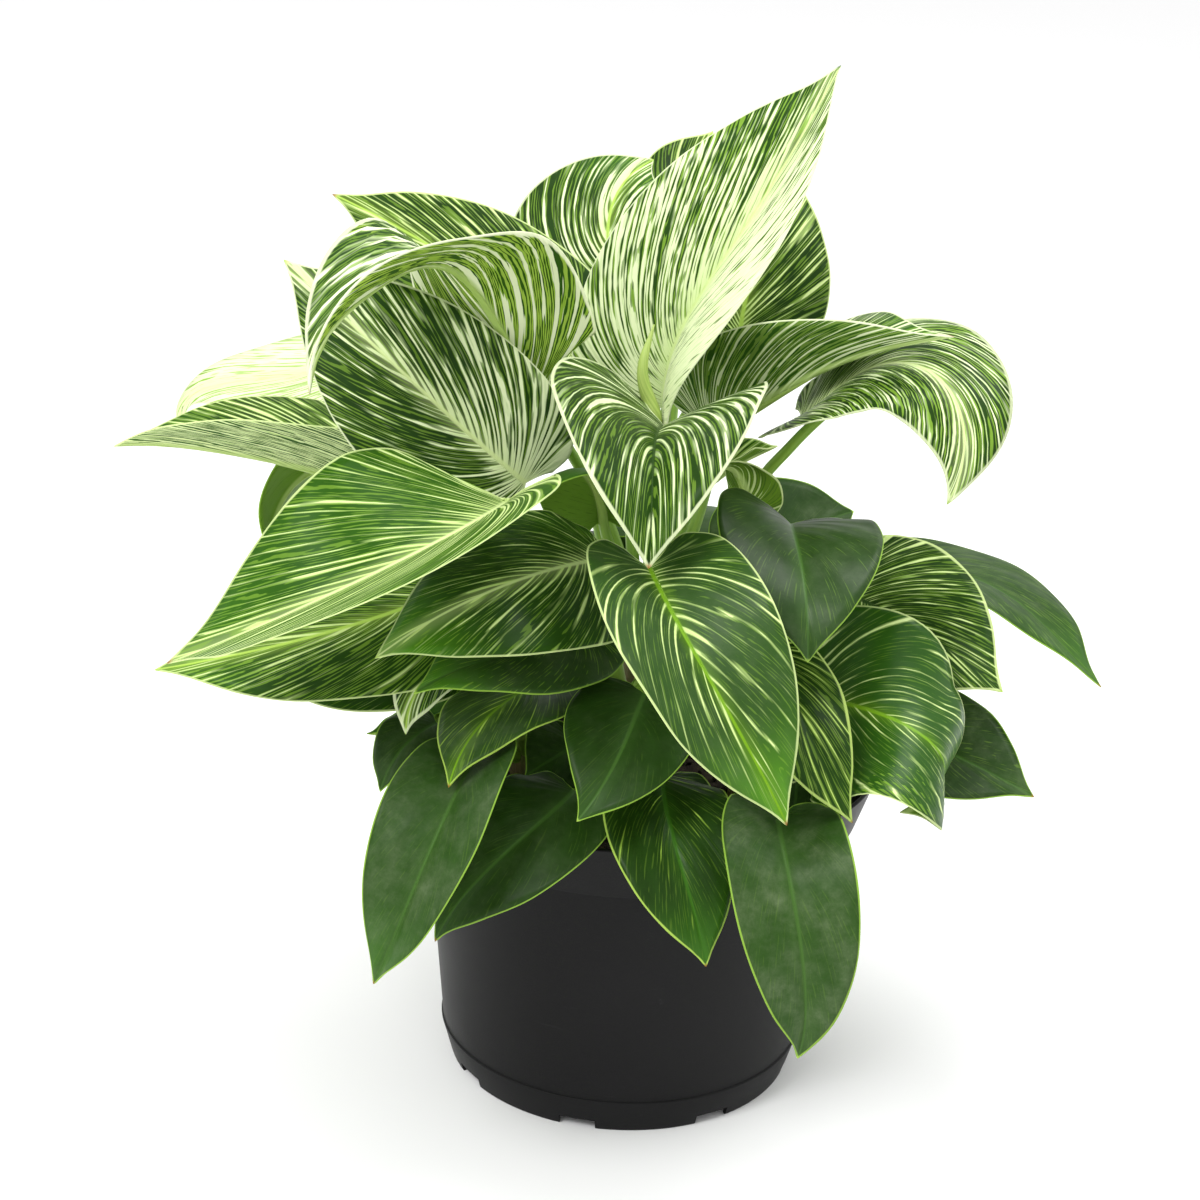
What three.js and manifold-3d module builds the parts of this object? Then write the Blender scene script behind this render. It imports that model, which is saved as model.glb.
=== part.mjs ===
// Potted philodendron 'Birkin' in a plain nursery pot.
// Millimetres, +Z up. The pot stands on z = 0, and -Y is the plant's front. Sizes are written with
// the pot's axis on Z; the whole plant is then moved so that the origin is under its middle.

import * as THREE from 'three';
import { mergeVertices } from 'three/addons/utils/BufferGeometryUtils.js';
import Module from 'manifold-3d';

const wasm = await Module();
wasm.setup();

// Pot
const POT_HEIGHT = 117.4;
const RIM_RADIUS = 85;
const BAND_HEIGHT = 20.2;
const BAND_RADIUS = 78.6;
const WALL_TOP_RADIUS = 71.5;
const RING_HEIGHT = 12.9;
const RING_RADIUS = 64.1;
const RING_STEP = 0.6;
const FOOT_RADIUS = 60.6;
const POT_WALL = 1.5;
const FLOOR_UNDERSIDE = 6;
const POT_SEGMENTS = 40;
const NOTCH_COUNT = 8;
const NOTCH_TURN = -102;
const NOTCH_WIDTH = 12.5;
const NOTCH_HEIGHT = 3.6;
const DRAIN_RADIUS = 5;
const DRAIN_CIRCLE = 44;
const DRAIN_SIDES = 10;

// Soil
const SOIL_TOP = 100;
const SOIL_CROWN = 2;
const SOIL_SHOULDER = 0.7;
const FIT_GAP = 0.3;

// Stems
const STEM_SIDES = 10;
const STEM_BOTTOM = 72;

// Leaves
const BLADE = 0.8;
const BLADE_HALF_COLUMNS = 2;
const BLADE_CURL = -10;
const RIB_SWEEP = 0.45;
const PETIOLE_SIDES = 5;
const PETIOLE_STEPS = 5;
const PETIOLE_TOP = 1.6;
const PETIOLE_FOOT = 2.6;
const PETIOLE_UNDER_BLADE = 1;
const PETIOLE_MEETS_BLADE = 0.08;
const PETIOLE_REACH = 0.38;
const PETIOLE_LEAN = 0.45;
const PETIOLE_ARCH = 0.8;

// New leaf, still rolled into a spike: its route from the main stem to its point.
const SPIKE = [[7, 2, 162], [9, -1, 184], [7, -4, 209], [2, -5, 234], [-3, -8, 252], [0, -6, 267]];
const SPIKE_FOOT_RADIUS = 2;
const SPIKE_TIP_RADIUS = 0.4;
const SPIKE_STEPS = 10;

// Colours
const POT_COLOR = 0x262626;
const SOIL_COLOR = 0x2b2119;
const STEM_COLOR = 0x6f7d3a;
const LEAF_COLOR = 0x3d6b2c;
const SPIKE_COLOR = 0xa9b83e;
const POT_ROUGHNESS = 0.45;
const SOIL_ROUGHNESS = 0.95;
const STEM_ROUGHNESS = 0.7;
const LEAF_ROUGHNESS = 0.4;

// One half of a blade: where each rib leaves the midrib, where it meets the margin, how wide the
// blade is there, as shares of the blade's length and half width, and how much of a lobe it has.
const RIBS = [
  [0.0, -0.05, 0.27, 0.7],
  [0.03, -0.06, 0.55, 1],
  [0.07, 0.01, 0.82, 0.8],
  [0.15, 0.16, 0.98, 0.3],
  [0.28, 0.36, 1.0, 0],
  [0.43, 0.57, 0.85, 0],
  [0.6, 0.76, 0.54, 0],
  [0.8, 0.91, 0.2, 0],
];

const STEMS = {
  main: { bottom: [0, 8], top: [3, 5, 168], radii: [9, 6.5] },
  front: { bottom: [-5, -20], top: [-7, -25, 152], radii: [6.5, 5] },
  left: { bottom: [-32, 0], top: [-42, -9, 168], radii: [7.5, 5.5] },
  right: { bottom: [38, 4], top: [46, 2, 168], radii: [7.5, 5.5] },
  rear: { bottom: [4, 40], top: [5, 43, 150], radii: [6, 5] },
};

// Each leaf: its stem, the height where its petiole leaves the stem (root), its width, how far each
// half is folded up from the flat in degrees (left and right, seen from above with the tip away),
// how much a half curls from midrib to margin, the points of its midrib from base to tip, and which
// way its upper face looks from base to tip. Some petioles pass through a point of their own (via)
// or meet the blade further along (meets). A strongly bent blade has finer ribs (finer), and some
// blades have longer or shorter lobes at their base (lobes).
const LEAVES = {
  leaf_crown: {
    stem: 'main', root: 164, width: 72, left: [28], right: [66, 48, 48], curl: -15,
    midrib: [[5, 20, 232], [9, 17, 259], [27, 18, 293], [44, 26, 322], [57, 42, 345]],
    face: [[-0.5, -0.85, 0.2]],
  },
  leaf_back_left: {
    stem: 'main', root: 138, width: 76, left: [10], right: [10], curl: -25,
    midrib: [[-5, 60, 252], [-16, 68, 269], [-17, 82, 286], [-3, 100, 300]],
    face: [[-0.1, -0.7, 0.7]],
    via: [[-5, 34, 190]],
  },
  leaf_back_center: {
    stem: 'main', root: 112, width: 36, left: [10], right: [10],
    midrib: [[9, 104, 276], [9, 112, 287], [12, 121, 296], [18, 128, 306]],
    face: [[0, -0.8, 0.6]],
  },
  leaf_back_right: {
    stem: 'main', root: 150, width: 56, left: [12], right: [12],
    midrib: [[30, 54, 245], [33, 62, 267], [41, 74, 286], [48, 88, 299]],
    face: [[0.2, -0.8, 0.5]],
    via: [[6, 44, 205]],
  },
  leaf_upper_left_rear: {
    stem: 'main', root: 128, width: 50, left: [8], right: [8],
    midrib: [[-26, 40, 247], [-54, 50, 262], [-85, 58, 278], [-113, 62, 290]],
    face: [[-0.2, -0.75, 0.6]],
    via: [[-14, 26, 180]],
  },
  leaf_upper_left_arching: {
    finer: 2,
    stem: 'main', root: 148, width: 60, left: [0, 12, 45], right: [30, 40, 15], curl: 0,
    midrib: [[-34, 4, 241], [-50, -8, 264], [-70, -30, 289], [-87, -58, 285],
      [-97, -80, 276], [-100, -88, 262]],
    face: [[-0.3, 0.95, 0.2], [-0.25, 0.1, 1], [-0.8, -0.45, 0.3]],
    via: [[-12, 17, 190]],
  },
  leaf_upper_left: {
    stem: 'left', root: 166, width: 61, left: [6], right: [6],
    midrib: [[-39, -15, 214], [-62, -22, 236], [-87, -18, 257], [-120, -4, 282]],
    face: [[-0.1, -0.85, 0.5]],
  },
  leaf_left: {
    stem: 'left', root: 146, width: 70, left: [39], right: [39],
    midrib: [[-76, 30, 190], [-103, 20, 202], [-138, 14, 210], [-165, 14, 212], [-181, 16, 210]],
    face: [[0, 0.13, 1]],
  },
  leaf_left_rear: {
    stem: 'main', root: 114, width: 60, left: [5], right: [5],
    midrib: [[-76, 85, 214], [-113, 85, 223], [-149, 85, 215], [-168, 85, 208], [-172, 85, 197]],
    face: [[0, -0.3, 1]],
  },
  leaf_left_drooping: {
    stem: 'left', root: 130, width: 42, left: [15], right: [15],
    midrib: [[-100, 60, 188], [-119, 52, 193], [-129, 43, 182], [-129, 31, 165]],
    face: [[-0.5, 0.5, 0.6]],
  },
  leaf_middle_left: {
    lobes: -0.12,
    stem: 'left', root: 148, curl: 0, width: 78, left: [48, 42], right: [15, 10],
    midrib: [[-43, -55, 221], [-61, -86, 218], [-83, -102, 210], [-112, -104, 195],
      [-142, -96, 178]],
    face: [[-0.1, -0.6, 0.8]],
    via: [[-46, -24, 186], [-52, -42, 208]],
  },
  leaf_middle_left_under: {
    stem: 'left', root: 136, width: 56, left: [-20, 5, 5], right: [-10, 5, 5],
    midrib: [[-50, -32, 189], [-78, -51, 181], [-113, -62, 172], [-152, -66, 163]],
    face: [[0, -0.6, 0.8]],
  },
  leaf_middle_left_lowest: {
    stem: 'left', root: 128, width: 42, left: [5], right: [5],
    midrib: [[-56, -16, 162], [-79, -25, 155], [-104, -32, 150], [-123, -36, 147]],
    face: [[0, -0.6, 0.8]],
  },
  leaf_center_left: {
    stem: 'front', root: 148, width: 57, left: [-30, -12, -12], right: [20, -8, 4],
    midrib: [[-11, -42, 199], [-31, -68, 203], [-54, -86, 198], [-79, -96, 183]],
    face: [[-0.1, -0.5, 0.85]],
  },
  leaf_center_front: {
    stem: 'front', root: 134, width: 56, left: [25, 20, 15], right: [40, 35, 20],
    midrib: [[2, -72, 208], [14, -96, 195], [30, -112, 174], [47, -118, 145]],
    face: [[0.1, -0.75, 0.65]],
    via: [[6, -50, 172]],
  },
  leaf_shield_front: {
    lobes: 0.07,
    stem: 'main', root: 156, width: 76, left: [35], right: [35],
    midrib: [[5, -18, 237], [2, -48, 240], [2, -76, 231], [2, -88, 213]],
    face: [[0, -0.2, 1], [0, -0.7, 0.7], [0, -1, 0.2]],
  },
  leaf_upper_right: {
    stem: 'main', root: 154, width: 64, left: [42], right: [60, 42, 42],
    midrib: [[20, 36, 220], [40, 14, 239], [57, -4, 255], [75, -20, 267], [94, -26, 273]],
    face: [[0, 0.1, 1]],
    via: [[16, 9, 190]],
  },
  leaf_right_arching: {
    finer: 2, meets: 0.3,
    stem: 'right', root: 146, width: 58, left: [10], right: [30, -5, -5], curl: -15,
    midrib: [[50, 8, 234], [64, 0, 250], [80, -12, 260], [93, -26, 257], [99, -36, 243],
      [95, -40, 222]],
    face: [[-0.5, -0.15, 0.85], [-0.4, -0.2, 0.9], [0, -0.35, 0.95], [0.45, -0.65, 0.6],
      [0.25, -0.95, 0.2], [0.2, -0.95, 0.1]],
    via: [[36, 12, 203], [48, 7, 225]],
  },
  leaf_small_curled: {
    stem: 'right', root: 160, width: 24, left: [30], right: [30],
    midrib: [[34, -2, 203], [31, -12, 218], [26, -18, 224], [16, -22, 216]],
    face: [[0.3, 0.3, 0.9]],
  },
  leaf_small_right: {
    stem: 'main', root: 129, width: 26, left: [35], right: [35],
    midrib: [[19, 38, 200], [32, 42, 207], [45, 44, 213]],
    face: [[0, 0, 1]],
  },
  leaf_shield_right: {
    stem: 'right', root: 144, width: 54, left: [25, 10], right: [25, 10], curl: -15,
    midrib: [[47, -30, 210], [49, -60, 208], [51, -76, 198], [52, -82, 183]],
    face: [[0.2, -0.3, 1], [0.1, -0.8, 0.6], [0, -1, 0.3]],
  },
  leaf_rear_right_round: {
    stem: 'main', root: 124, width: 56, left: [5], right: [5],
    midrib: [[42, 50, 163], [56, 62, 174], [76, 75, 180]],
    face: [[0, -0.8, 0.6]],
  },
  leaf_right_middle: {
    stem: 'right', root: 132, width: 60, left: [5], right: [5], curl: -15,
    midrib: [[67, 18, 171], [84, -2, 170], [103, -20, 165], [120, -32, 156]],
    face: [[-0.1, -0.75, 0.65]],
  },
  leaf_far_right: {
    stem: 'right', root: 120, width: 52, left: [-8], right: [25],
    midrib: [[84, 38, 172], [110, 28, 175], [130, 14, 170], [144, 3, 160], [157, -6, 149]],
    face: [[0.2, -0.35, 0.9]],
  },
  leaf_right_recurved: {
    finer: 2,
    stem: 'right', root: 122, width: 67, left: [0, 0, 50], right: [0],
    midrib: [[62, -34, 148], [80, -62, 158], [96, -68, 150], [97, -57, 130], [88, -50, 119]],
    face: [[0, -0.85, 0.5], [0.4, -0.85, 0.3], [0.95, -0.1, 0.1], [0.7, 0.5, -0.4]],
    via: [[58, -10, 126]],
  },
  leaf_right_low: {
    stem: 'right', root: 108, width: 46, left: [5], right: [18],
    midrib: [[84, 0, 129], [103, -16, 128], [120, -26, 124], [134, -32, 119]],
    face: [[0.1, -0.7, 0.7]],
  },
  leaf_center_right: {
    stem: 'right', root: 134, width: 31, left: [5], right: [5],
    midrib: [[40, -53, 175], [50, -72, 165], [60, -87, 149], [69, -91, 134]],
    face: [[0.2, -0.8, 0.5]],
  },
  leaf_low_front: {
    stem: 'front', root: 107, width: 40, left: [8], right: [8],
    midrib: [[10, -66, 136], [14, -92, 126], [21, -105, 109], [26, -107, 90]],
    face: [[0.1, -0.8, 0.5]],
  },
  leaf_low_front_right: {
    stem: 'right', root: 106, width: 41, left: [25], right: [22],
    midrib: [[46, -80, 130], [50, -104, 120], [55, -114, 98], [56, -110, 61]],
    face: [[0.1, -0.85, 0.4]],
    via: [[38, -38, 120]],
  },
  leaf_low_left: {
    stem: 'left', root: 110, width: 40, left: [45], right: [8],
    midrib: [[-49, -78, 144], [-57, -100, 132], [-66, -111, 110], [-77, -109, 79]],
    face: [[-0.1, -0.8, 0.5]],
  },
  leaf_low_left_inner: {
    stem: 'front', root: 104, width: 40, left: [8], right: [8],
    midrib: [[-18, -66, 129], [-31, -86, 123], [-46, -95, 110], [-59, -98, 89]],
    face: [[-0.1, -0.6, 0.8]],
    via: [[-12, -45, 112]],
  },
  leaf_low_center_left: {
    stem: 'front', root: 116, width: 42, left: [8], right: [8],
    midrib: [[3, -62, 162], [-2, -84, 156], [-8, -98, 147], [-16, -104, 136]],
    face: [[-0.1, -0.75, 0.6]],
  },
  leaf_low_left_upper: {
    stem: 'front', root: 112, width: 43, left: [12], right: [-10],
    midrib: [[-28, -40, 159], [-41, -66, 158], [-52, -86, 151], [-56, -95, 141]],
    face: [[-0.1, -0.4, 0.9]],
  },
  leaf_low_left_bright: {
    stem: 'front', root: 128, width: 40, left: [5], right: [10],
    midrib: [[-16, -40, 174], [-37, -70, 177], [-53, -88, 178], [-67, -98, 173]],
    face: [[0, -0.6, 0.8]],
  },
  leaf_low_left_upright: {
    stem: 'left', root: 116, width: 26, left: [20], right: [5],
    midrib: [[-50, -34, 167], [-62, -40, 162], [-72, -46, 149], [-74, -48, 137]],
    face: [[-0.2, -0.7, 0.6]],
  },
  leaf_small_left: {
    stem: 'left', root: 112, width: 26, left: [30], right: [30],
    midrib: [[-56, -8, 137], [-75, -20, 127], [-89, -28, 128]],
    face: [[0, 0.2, 1]],
  },
  leaf_small_left_low: {
    stem: 'left', root: 106, width: 26, left: [5], right: [5],
    midrib: [[-65, -32, 135], [-78, -46, 127], [-82, -50, 117]],
    face: [[-0.4, -0.6, 0.6]],
  },
  leaf_inner_arched: {
    stem: 'main', root: 160, width: 38, left: [-10], right: [-10],
    midrib: [[-14, 8, 195], [-20, -9, 217], [-27, -25, 222], [-33, -36, 217]],
    face: [[-0.2, 0.3, 0.9]],
  },
  leaf_inner_left: {
    stem: 'left', root: 104, width: 30, left: [5], right: [5],
    midrib: [[-18, -30, 129], [-27, -40, 127], [-35, -45, 123]],
    face: [[0, -0.7, 0.7]],
  },
  leaf_inner_right: {
    stem: 'right', root: 104, width: 28, left: [5], right: [5],
    midrib: [[56, -20, 128], [55, -34, 118], [54, -42, 108]],
    face: [[0, -0.8, 0.5]],
  },
};

// Leaves behind the plant: two fans around the rear stem, each leaf turned and sized a little at
// random. Every second leaf of a fan lies higher, so that neighbours pass over each other.
const REAR_SEED = 20240611;
const REAR_FANS = [
  { count: 4, firstTurn: 28, lastTurn: 152, baseOut: 32, height: 124, reach: 62, drop: 20, root: 104 },
  { count: 3, firstTurn: 46, lastTurn: 134, baseOut: 32, height: 158, reach: 60, drop: 22, root: 130 },
];
const REAR_STEP = 11;
const REAR_ROOT_STEP = 7;
const REAR_WIDTH = 50;
const REAR_LEAN = 0.25;
const REAR_JITTER = 3;
const RANDOM_FACTOR = 1664525;
const RANDOM_OFFSET = 1013904223;

// A small repeatable random source with values from -1 to 1.
function randomSource(seed) {
  let state = seed;
  return () => {
    state = (Math.imul(state, RANDOM_FACTOR) + RANDOM_OFFSET) >>> 0;
    return state / 2 ** 31 - 1;
  };
}

function rearLeaf(fan, index, random) {
  const share = index / (fan.count - 1);
  const degrees = THREE.MathUtils.lerp(fan.firstTurn, fan.lastTurn, share) + REAR_JITTER * random();
  const turn = THREE.MathUtils.degToRad(degrees);
  const [east, north] = [Math.cos(turn), Math.sin(turn)];
  const center = STEMS.rear.top;
  const at = (out, height) => [center[0] + east * out, center[1] + north * out, height];
  const reach = fan.reach + REAR_JITTER * random();
  const height = fan.height + (index % 2) * REAR_STEP;
  return {
    stem: 'rear',
    root: fan.root + index * REAR_ROOT_STEP,
    width: REAR_WIDTH + REAR_JITTER * random(),
    midrib: [
      at(fan.baseOut, height),
      at(fan.baseOut + reach / 3, height + REAR_JITTER),
      at(fan.baseOut + (2 * reach) / 3, height - fan.drop / 4),
      at(fan.baseOut + reach, height - fan.drop),
    ],
    face: [[REAR_LEAN * east, REAR_LEAN * north, 1]],
    left: [REAR_JITTER],
    right: [REAR_JITTER],
  };
}

function rearLeaves() {
  const random = randomSource(REAR_SEED);
  const leaves = {};
  for (const fan of REAR_FANS) {
    for (let index = 0; index < fan.count; index += 1) {
      leaves[`leaf_rear_${Object.keys(leaves).length + 1}`] = rearLeaf(fan, index, random);
    }
  }
  return leaves;
}

function vector(values) {
  return new THREE.Vector3(values[0], values[1], values[2]);
}

function toSolid(geometry) {
  const bare = geometry.clone();
  bare.deleteAttribute('normal');
  bare.deleteAttribute('uv');
  const merged = mergeVertices(bare);
  const mesh = new wasm.Mesh({
    numProp: 3,
    vertProperties: merged.attributes.position.array,
    triVerts: Uint32Array.from(merged.index.array),
  });
  return new wasm.Manifold(mesh);
}

function toGeometry(solid) {
  const mesh = solid.getMesh();
  const geometry = new THREE.BufferGeometry();
  geometry.setAttribute('position', new THREE.BufferAttribute(mesh.vertProperties, 3));
  geometry.setIndex(new THREE.BufferAttribute(mesh.triVerts, 1));
  geometry.computeVertexNormals();
  return geometry;
}

function makeMesh(name, solid, color, roughness) {
  const material = new THREE.MeshStandardMaterial({ color, roughness, metalness: 0 });
  const mesh = new THREE.Mesh(toGeometry(solid), material);
  mesh.name = name;
  return mesh;
}

function lathe(profile, segments) {
  const points = profile.map(([radius, height]) => new THREE.Vector2(radius, height));
  const geometry = new THREE.LatheGeometry(points, segments);
  geometry.rotateX(Math.PI / 2);
  return toSolid(geometry);
}

// Pot: flared rim band, tapering wall, base ring, raised floor with drain holes, notched skirt.

const BAND_BOTTOM = POT_HEIGHT - BAND_HEIGHT;
const FLOOR_TOP = FLOOR_UNDERSIDE + POT_WALL;

function potShell() {
  const innerFoot = FOOT_RADIUS - POT_WALL;
  return lathe([
    [0, FLOOR_UNDERSIDE],
    [innerFoot, FLOOR_UNDERSIDE],
    [innerFoot, 0],
    [FOOT_RADIUS, 0],
    [RING_RADIUS, RING_HEIGHT],
    [RING_RADIUS - RING_STEP, RING_HEIGHT],
    [WALL_TOP_RADIUS, BAND_BOTTOM],
    [BAND_RADIUS, BAND_BOTTOM],
    [RIM_RADIUS, POT_HEIGHT],
    [RIM_RADIUS - POT_WALL, POT_HEIGHT],
    [BAND_RADIUS - POT_WALL, BAND_BOTTOM + POT_WALL],
    [WALL_TOP_RADIUS - POT_WALL, BAND_BOTTOM + POT_WALL],
    [innerFoot, FLOOR_TOP],
    [0, FLOOR_TOP],
  ], POT_SEGMENTS);
}

function skirtNotch(turn) {
  const notch = new THREE.BoxGeometry(FOOT_RADIUS / 2, NOTCH_WIDTH, 2 * NOTCH_HEIGHT);
  notch.translate(FOOT_RADIUS, 0, 0);
  notch.rotateZ(THREE.MathUtils.degToRad(turn));
  return toSolid(notch);
}

function drainHole(turn) {
  const hole = new THREE.CylinderGeometry(DRAIN_RADIUS, DRAIN_RADIUS, 4 * POT_WALL, DRAIN_SIDES);
  hole.rotateX(Math.PI / 2);
  hole.translate(DRAIN_CIRCLE, 0, FLOOR_UNDERSIDE);
  hole.rotateZ(THREE.MathUtils.degToRad(turn));
  return toSolid(hole);
}

function potSolid() {
  const step = 360 / NOTCH_COUNT;
  let pot = potShell();
  for (let index = 0; index < NOTCH_COUNT; index += 1) {
    const turn = NOTCH_TURN + index * step;
    pot = pot.subtract(skirtNotch(turn)).subtract(drainHole(turn + step / 2));
  }
  return pot;
}

// Stems: five short tapered trunks standing in plain holes of the soil.

function stemAxis(stem, height) {
  const bottom = new THREE.Vector3(stem.bottom[0], stem.bottom[1], STEM_BOTTOM);
  const top = vector(stem.top);
  return bottom.lerp(top, (height - STEM_BOTTOM) / (top.z - STEM_BOTTOM));
}

function stemSolid(stem, grow) {
  const bottom = stemAxis(stem, STEM_BOTTOM - grow);
  const top = stemAxis(stem, stem.top[2] + grow);
  const along = top.clone().sub(bottom);
  const rod = new THREE.CylinderGeometry(
    stem.radii[1] + grow,
    stem.radii[0] + grow,
    along.length(),
    STEM_SIDES,
  );
  const turn = new THREE.Quaternion();
  turn.setFromUnitVectors(new THREE.Vector3(0, 1, 0), along.clone().normalize());
  rod.applyQuaternion(turn);
  const middle = bottom.add(top).multiplyScalar(0.5);
  rod.translate(middle.x, middle.y, middle.z);
  return toSolid(rod);
}

// Soil: a plug with a slightly raised middle.

function soilSolid() {
  const bottom = FLOOR_TOP + FIT_GAP;
  const lowRadius = FOOT_RADIUS - POT_WALL - 2 * FIT_GAP;
  const highRadius = WALL_TOP_RADIUS - POT_WALL - 2 * FIT_GAP;
  const wallShare = (height) => (height - FLOOR_TOP) / (BAND_BOTTOM + POT_WALL - FLOOR_TOP);
  const clearRadius = (height) => THREE.MathUtils.lerp(lowRadius, highRadius, wallShare(height));
  const edge = SOIL_TOP - 2 * SOIL_CROWN;
  let soil = lathe([
    [0, bottom],
    [clearRadius(bottom), bottom],
    [clearRadius(edge), edge],
    [clearRadius(edge) * SOIL_SHOULDER, SOIL_TOP - SOIL_CROWN / 2],
    [0, SOIL_TOP],
  ], POT_SEGMENTS);
  for (const stem of Object.values(STEMS)) {
    soil = soil.subtract(stemSolid(stem, FIT_GAP));
  }
  return soil;
}

// Blade: a thin shell around a bent midrib. Its ribs sweep forward from midrib to margin.

class MidribCurve extends THREE.Curve {
  constructor(points) {
    super();
    this.points = points.map(vector);
    this.stations = [0];
    for (let index = 1; index < points.length; index += 1) {
      const step = this.points[index].distanceTo(this.points[index - 1]);
      this.stations.push(this.stations[index - 1] + step);
    }
    const total = this.stations.at(-1);
    this.stations = this.stations.map((station) => station / total);
  }

  // The polynomial through all the points, by Neville's scheme.
  getPoint(share) {
    const row = this.points.map((point) => point.clone());
    for (let span = 1; span < row.length; span += 1) {
      for (let index = 0; index < row.length - span; index += 1) {
        const start = this.stations[index];
        const end = this.stations[index + span];
        row[index].lerp(row[index + 1], (share - start) / (end - start));
      }
    }
    return row[0];
  }
}

function blend(list, share) {
  const place = THREE.MathUtils.clamp(share, 0, 1) * (list.length - 1);
  const index = Math.min(Math.floor(place), list.length - 2);
  if (list.length === 1) {
    return list[0];
  }
  return THREE.MathUtils.lerp(list[index], list[index + 1], place - index);
}

function blendVectors(list, share) {
  return new THREE.Vector3(
    blend(list.map((item) => item[0]), share),
    blend(list.map((item) => item[1]), share),
    blend(list.map((item) => item[2]), share),
  );
}

// The midrib's point, direction and upward normal at a share of its length.
function bladeFrame(leaf, curve, share) {
  const inside = Math.max(share, 0);
  const along = curve.getTangentAt(inside);
  const point = curve.getPointAt(inside);
  point.addScaledVector(along, (share - inside) * curve.getLength());
  const normal = blendVectors(leaf.face, inside);
  normal.addScaledVector(along, -normal.dot(along)).normalize();
  return { point, along, normal };
}

function bladePoint(leaf, curve, share, across) {
  const { point, along, normal } = bladeFrame(leaf, curve, share);
  const side = along.clone().cross(normal);
  const degrees = blend(across < 0 ? leaf.left : leaf.right, share);
  const fold = THREE.MathUtils.degToRad(degrees);
  const curl = THREE.MathUtils.degToRad(leaf.curl ?? BLADE_CURL);
  const halfWidth = leaf.width / 2;
  const distance = Math.abs(across) * halfWidth;
  let out = Math.cos(fold) * distance;
  let up = Math.sin(fold) * distance;
  if (curl !== 0) {
    const bend = curl / halfWidth;
    out = (Math.sin(fold + bend * distance) - Math.sin(fold)) / bend;
    up = (Math.cos(fold) - Math.cos(fold + bend * distance)) / bend;
  }
  point.addScaledVector(side, out * Math.sign(across));
  point.addScaledVector(normal, up);
  return point;
}

// The ribs of one blade: the shared list, or with more ribs between them on a strongly bent blade.
function bladeRibs(steps) {
  const ribs = [];
  for (let index = 0; index < RIBS.length - 1; index += 1) {
    for (let step = 0; step < steps; step += 1) {
      const share = step / steps;
      ribs.push(RIBS[index].map((value, item) => (
        THREE.MathUtils.lerp(value, RIBS[index + 1][item], share)
      )));
    }
  }
  ribs.push(RIBS.at(-1));
  return ribs;
}

function bladeGrid(leaf, curve) {
  const rows = bladeRibs(leaf.finer ?? 1).map(([start, end, reach, lobe]) => {
    const margin = end - lobe * (leaf.lobes ?? 0);
    const row = [];
    for (let column = -BLADE_HALF_COLUMNS; column <= BLADE_HALF_COLUMNS; column += 1) {
      const out = Math.abs(column) / BLADE_HALF_COLUMNS;
      const share = start + (margin - start) * out * (1 - RIB_SWEEP + RIB_SWEEP * out);
      row.push(bladePoint(leaf, curve, share, reach * out * Math.sign(column)));
    }
    return row;
  });
  const tip = bladeFrame(leaf, curve, 1).point;
  return { rows, tip };
}

function bladeTriangles(rowCount, columnCount) {
  const at = (row, column) => row * columnCount + column;
  const tip = rowCount * columnCount;
  const triangles = [];
  for (let row = 0; row < rowCount - 1; row += 1) {
    for (let column = 0; column < columnCount - 1; column += 1) {
      const [a, b] = [at(row, column), at(row, column + 1)];
      const [c, d] = [at(row + 1, column), at(row + 1, column + 1)];
      if (column < columnCount / 2 - 1) {
        triangles.push([a, b, c], [b, d, c]);
      } else {
        triangles.push([a, b, d], [a, d, c]);
      }
    }
  }
  for (let column = 0; column < columnCount - 1; column += 1) {
    triangles.push([at(rowCount - 1, column), at(rowCount - 1, column + 1), tip]);
  }
  return triangles;
}

function bladeOutline(rowCount, columnCount) {
  const outline = [];
  for (let column = 0; column < columnCount; column += 1) {
    outline.push(column);
  }
  for (let row = 1; row < rowCount; row += 1) {
    outline.push(row * columnCount + columnCount - 1);
  }
  outline.push(rowCount * columnCount);
  for (let row = rowCount - 1; row > 0; row -= 1) {
    outline.push(row * columnCount);
  }
  return outline;
}

function bladeSolid(leaf, curve) {
  const { rows, tip } = bladeGrid(leaf, curve);
  const columnCount = rows[0].length;
  const upper = [...rows.flat(), tip];
  const faces = bladeTriangles(rows.length, columnCount);
  const normals = upper.map(() => new THREE.Vector3());
  const face = new THREE.Triangle();
  const faceNormal = new THREE.Vector3();
  for (const [a, b, c] of faces) {
    face.set(upper[a], upper[b], upper[c]).getNormal(faceNormal);
    normals[a].add(faceNormal);
    normals[b].add(faceNormal);
    normals[c].add(faceNormal);
  }
  const lower = upper.map((point, index) => (
    point.clone().addScaledVector(normals[index].normalize(), -BLADE)
  ));
  const count = upper.length;
  const index = [];
  for (const [a, b, c] of faces) {
    index.push(a, b, c, c + count, b + count, a + count);
  }
  const outline = bladeOutline(rows.length, columnCount);
  outline.forEach((from, place) => {
    const to = outline[(place + 1) % outline.length];
    index.push(from, from + count, to + count, from, to + count, to);
  });
  const geometry = new THREE.BufferGeometry();
  geometry.setFromPoints([...upper, ...lower]);
  geometry.setIndex(index);
  return toSolid(geometry);
}

// Rod: a tapering tube with closed ends along a curve.

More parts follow.
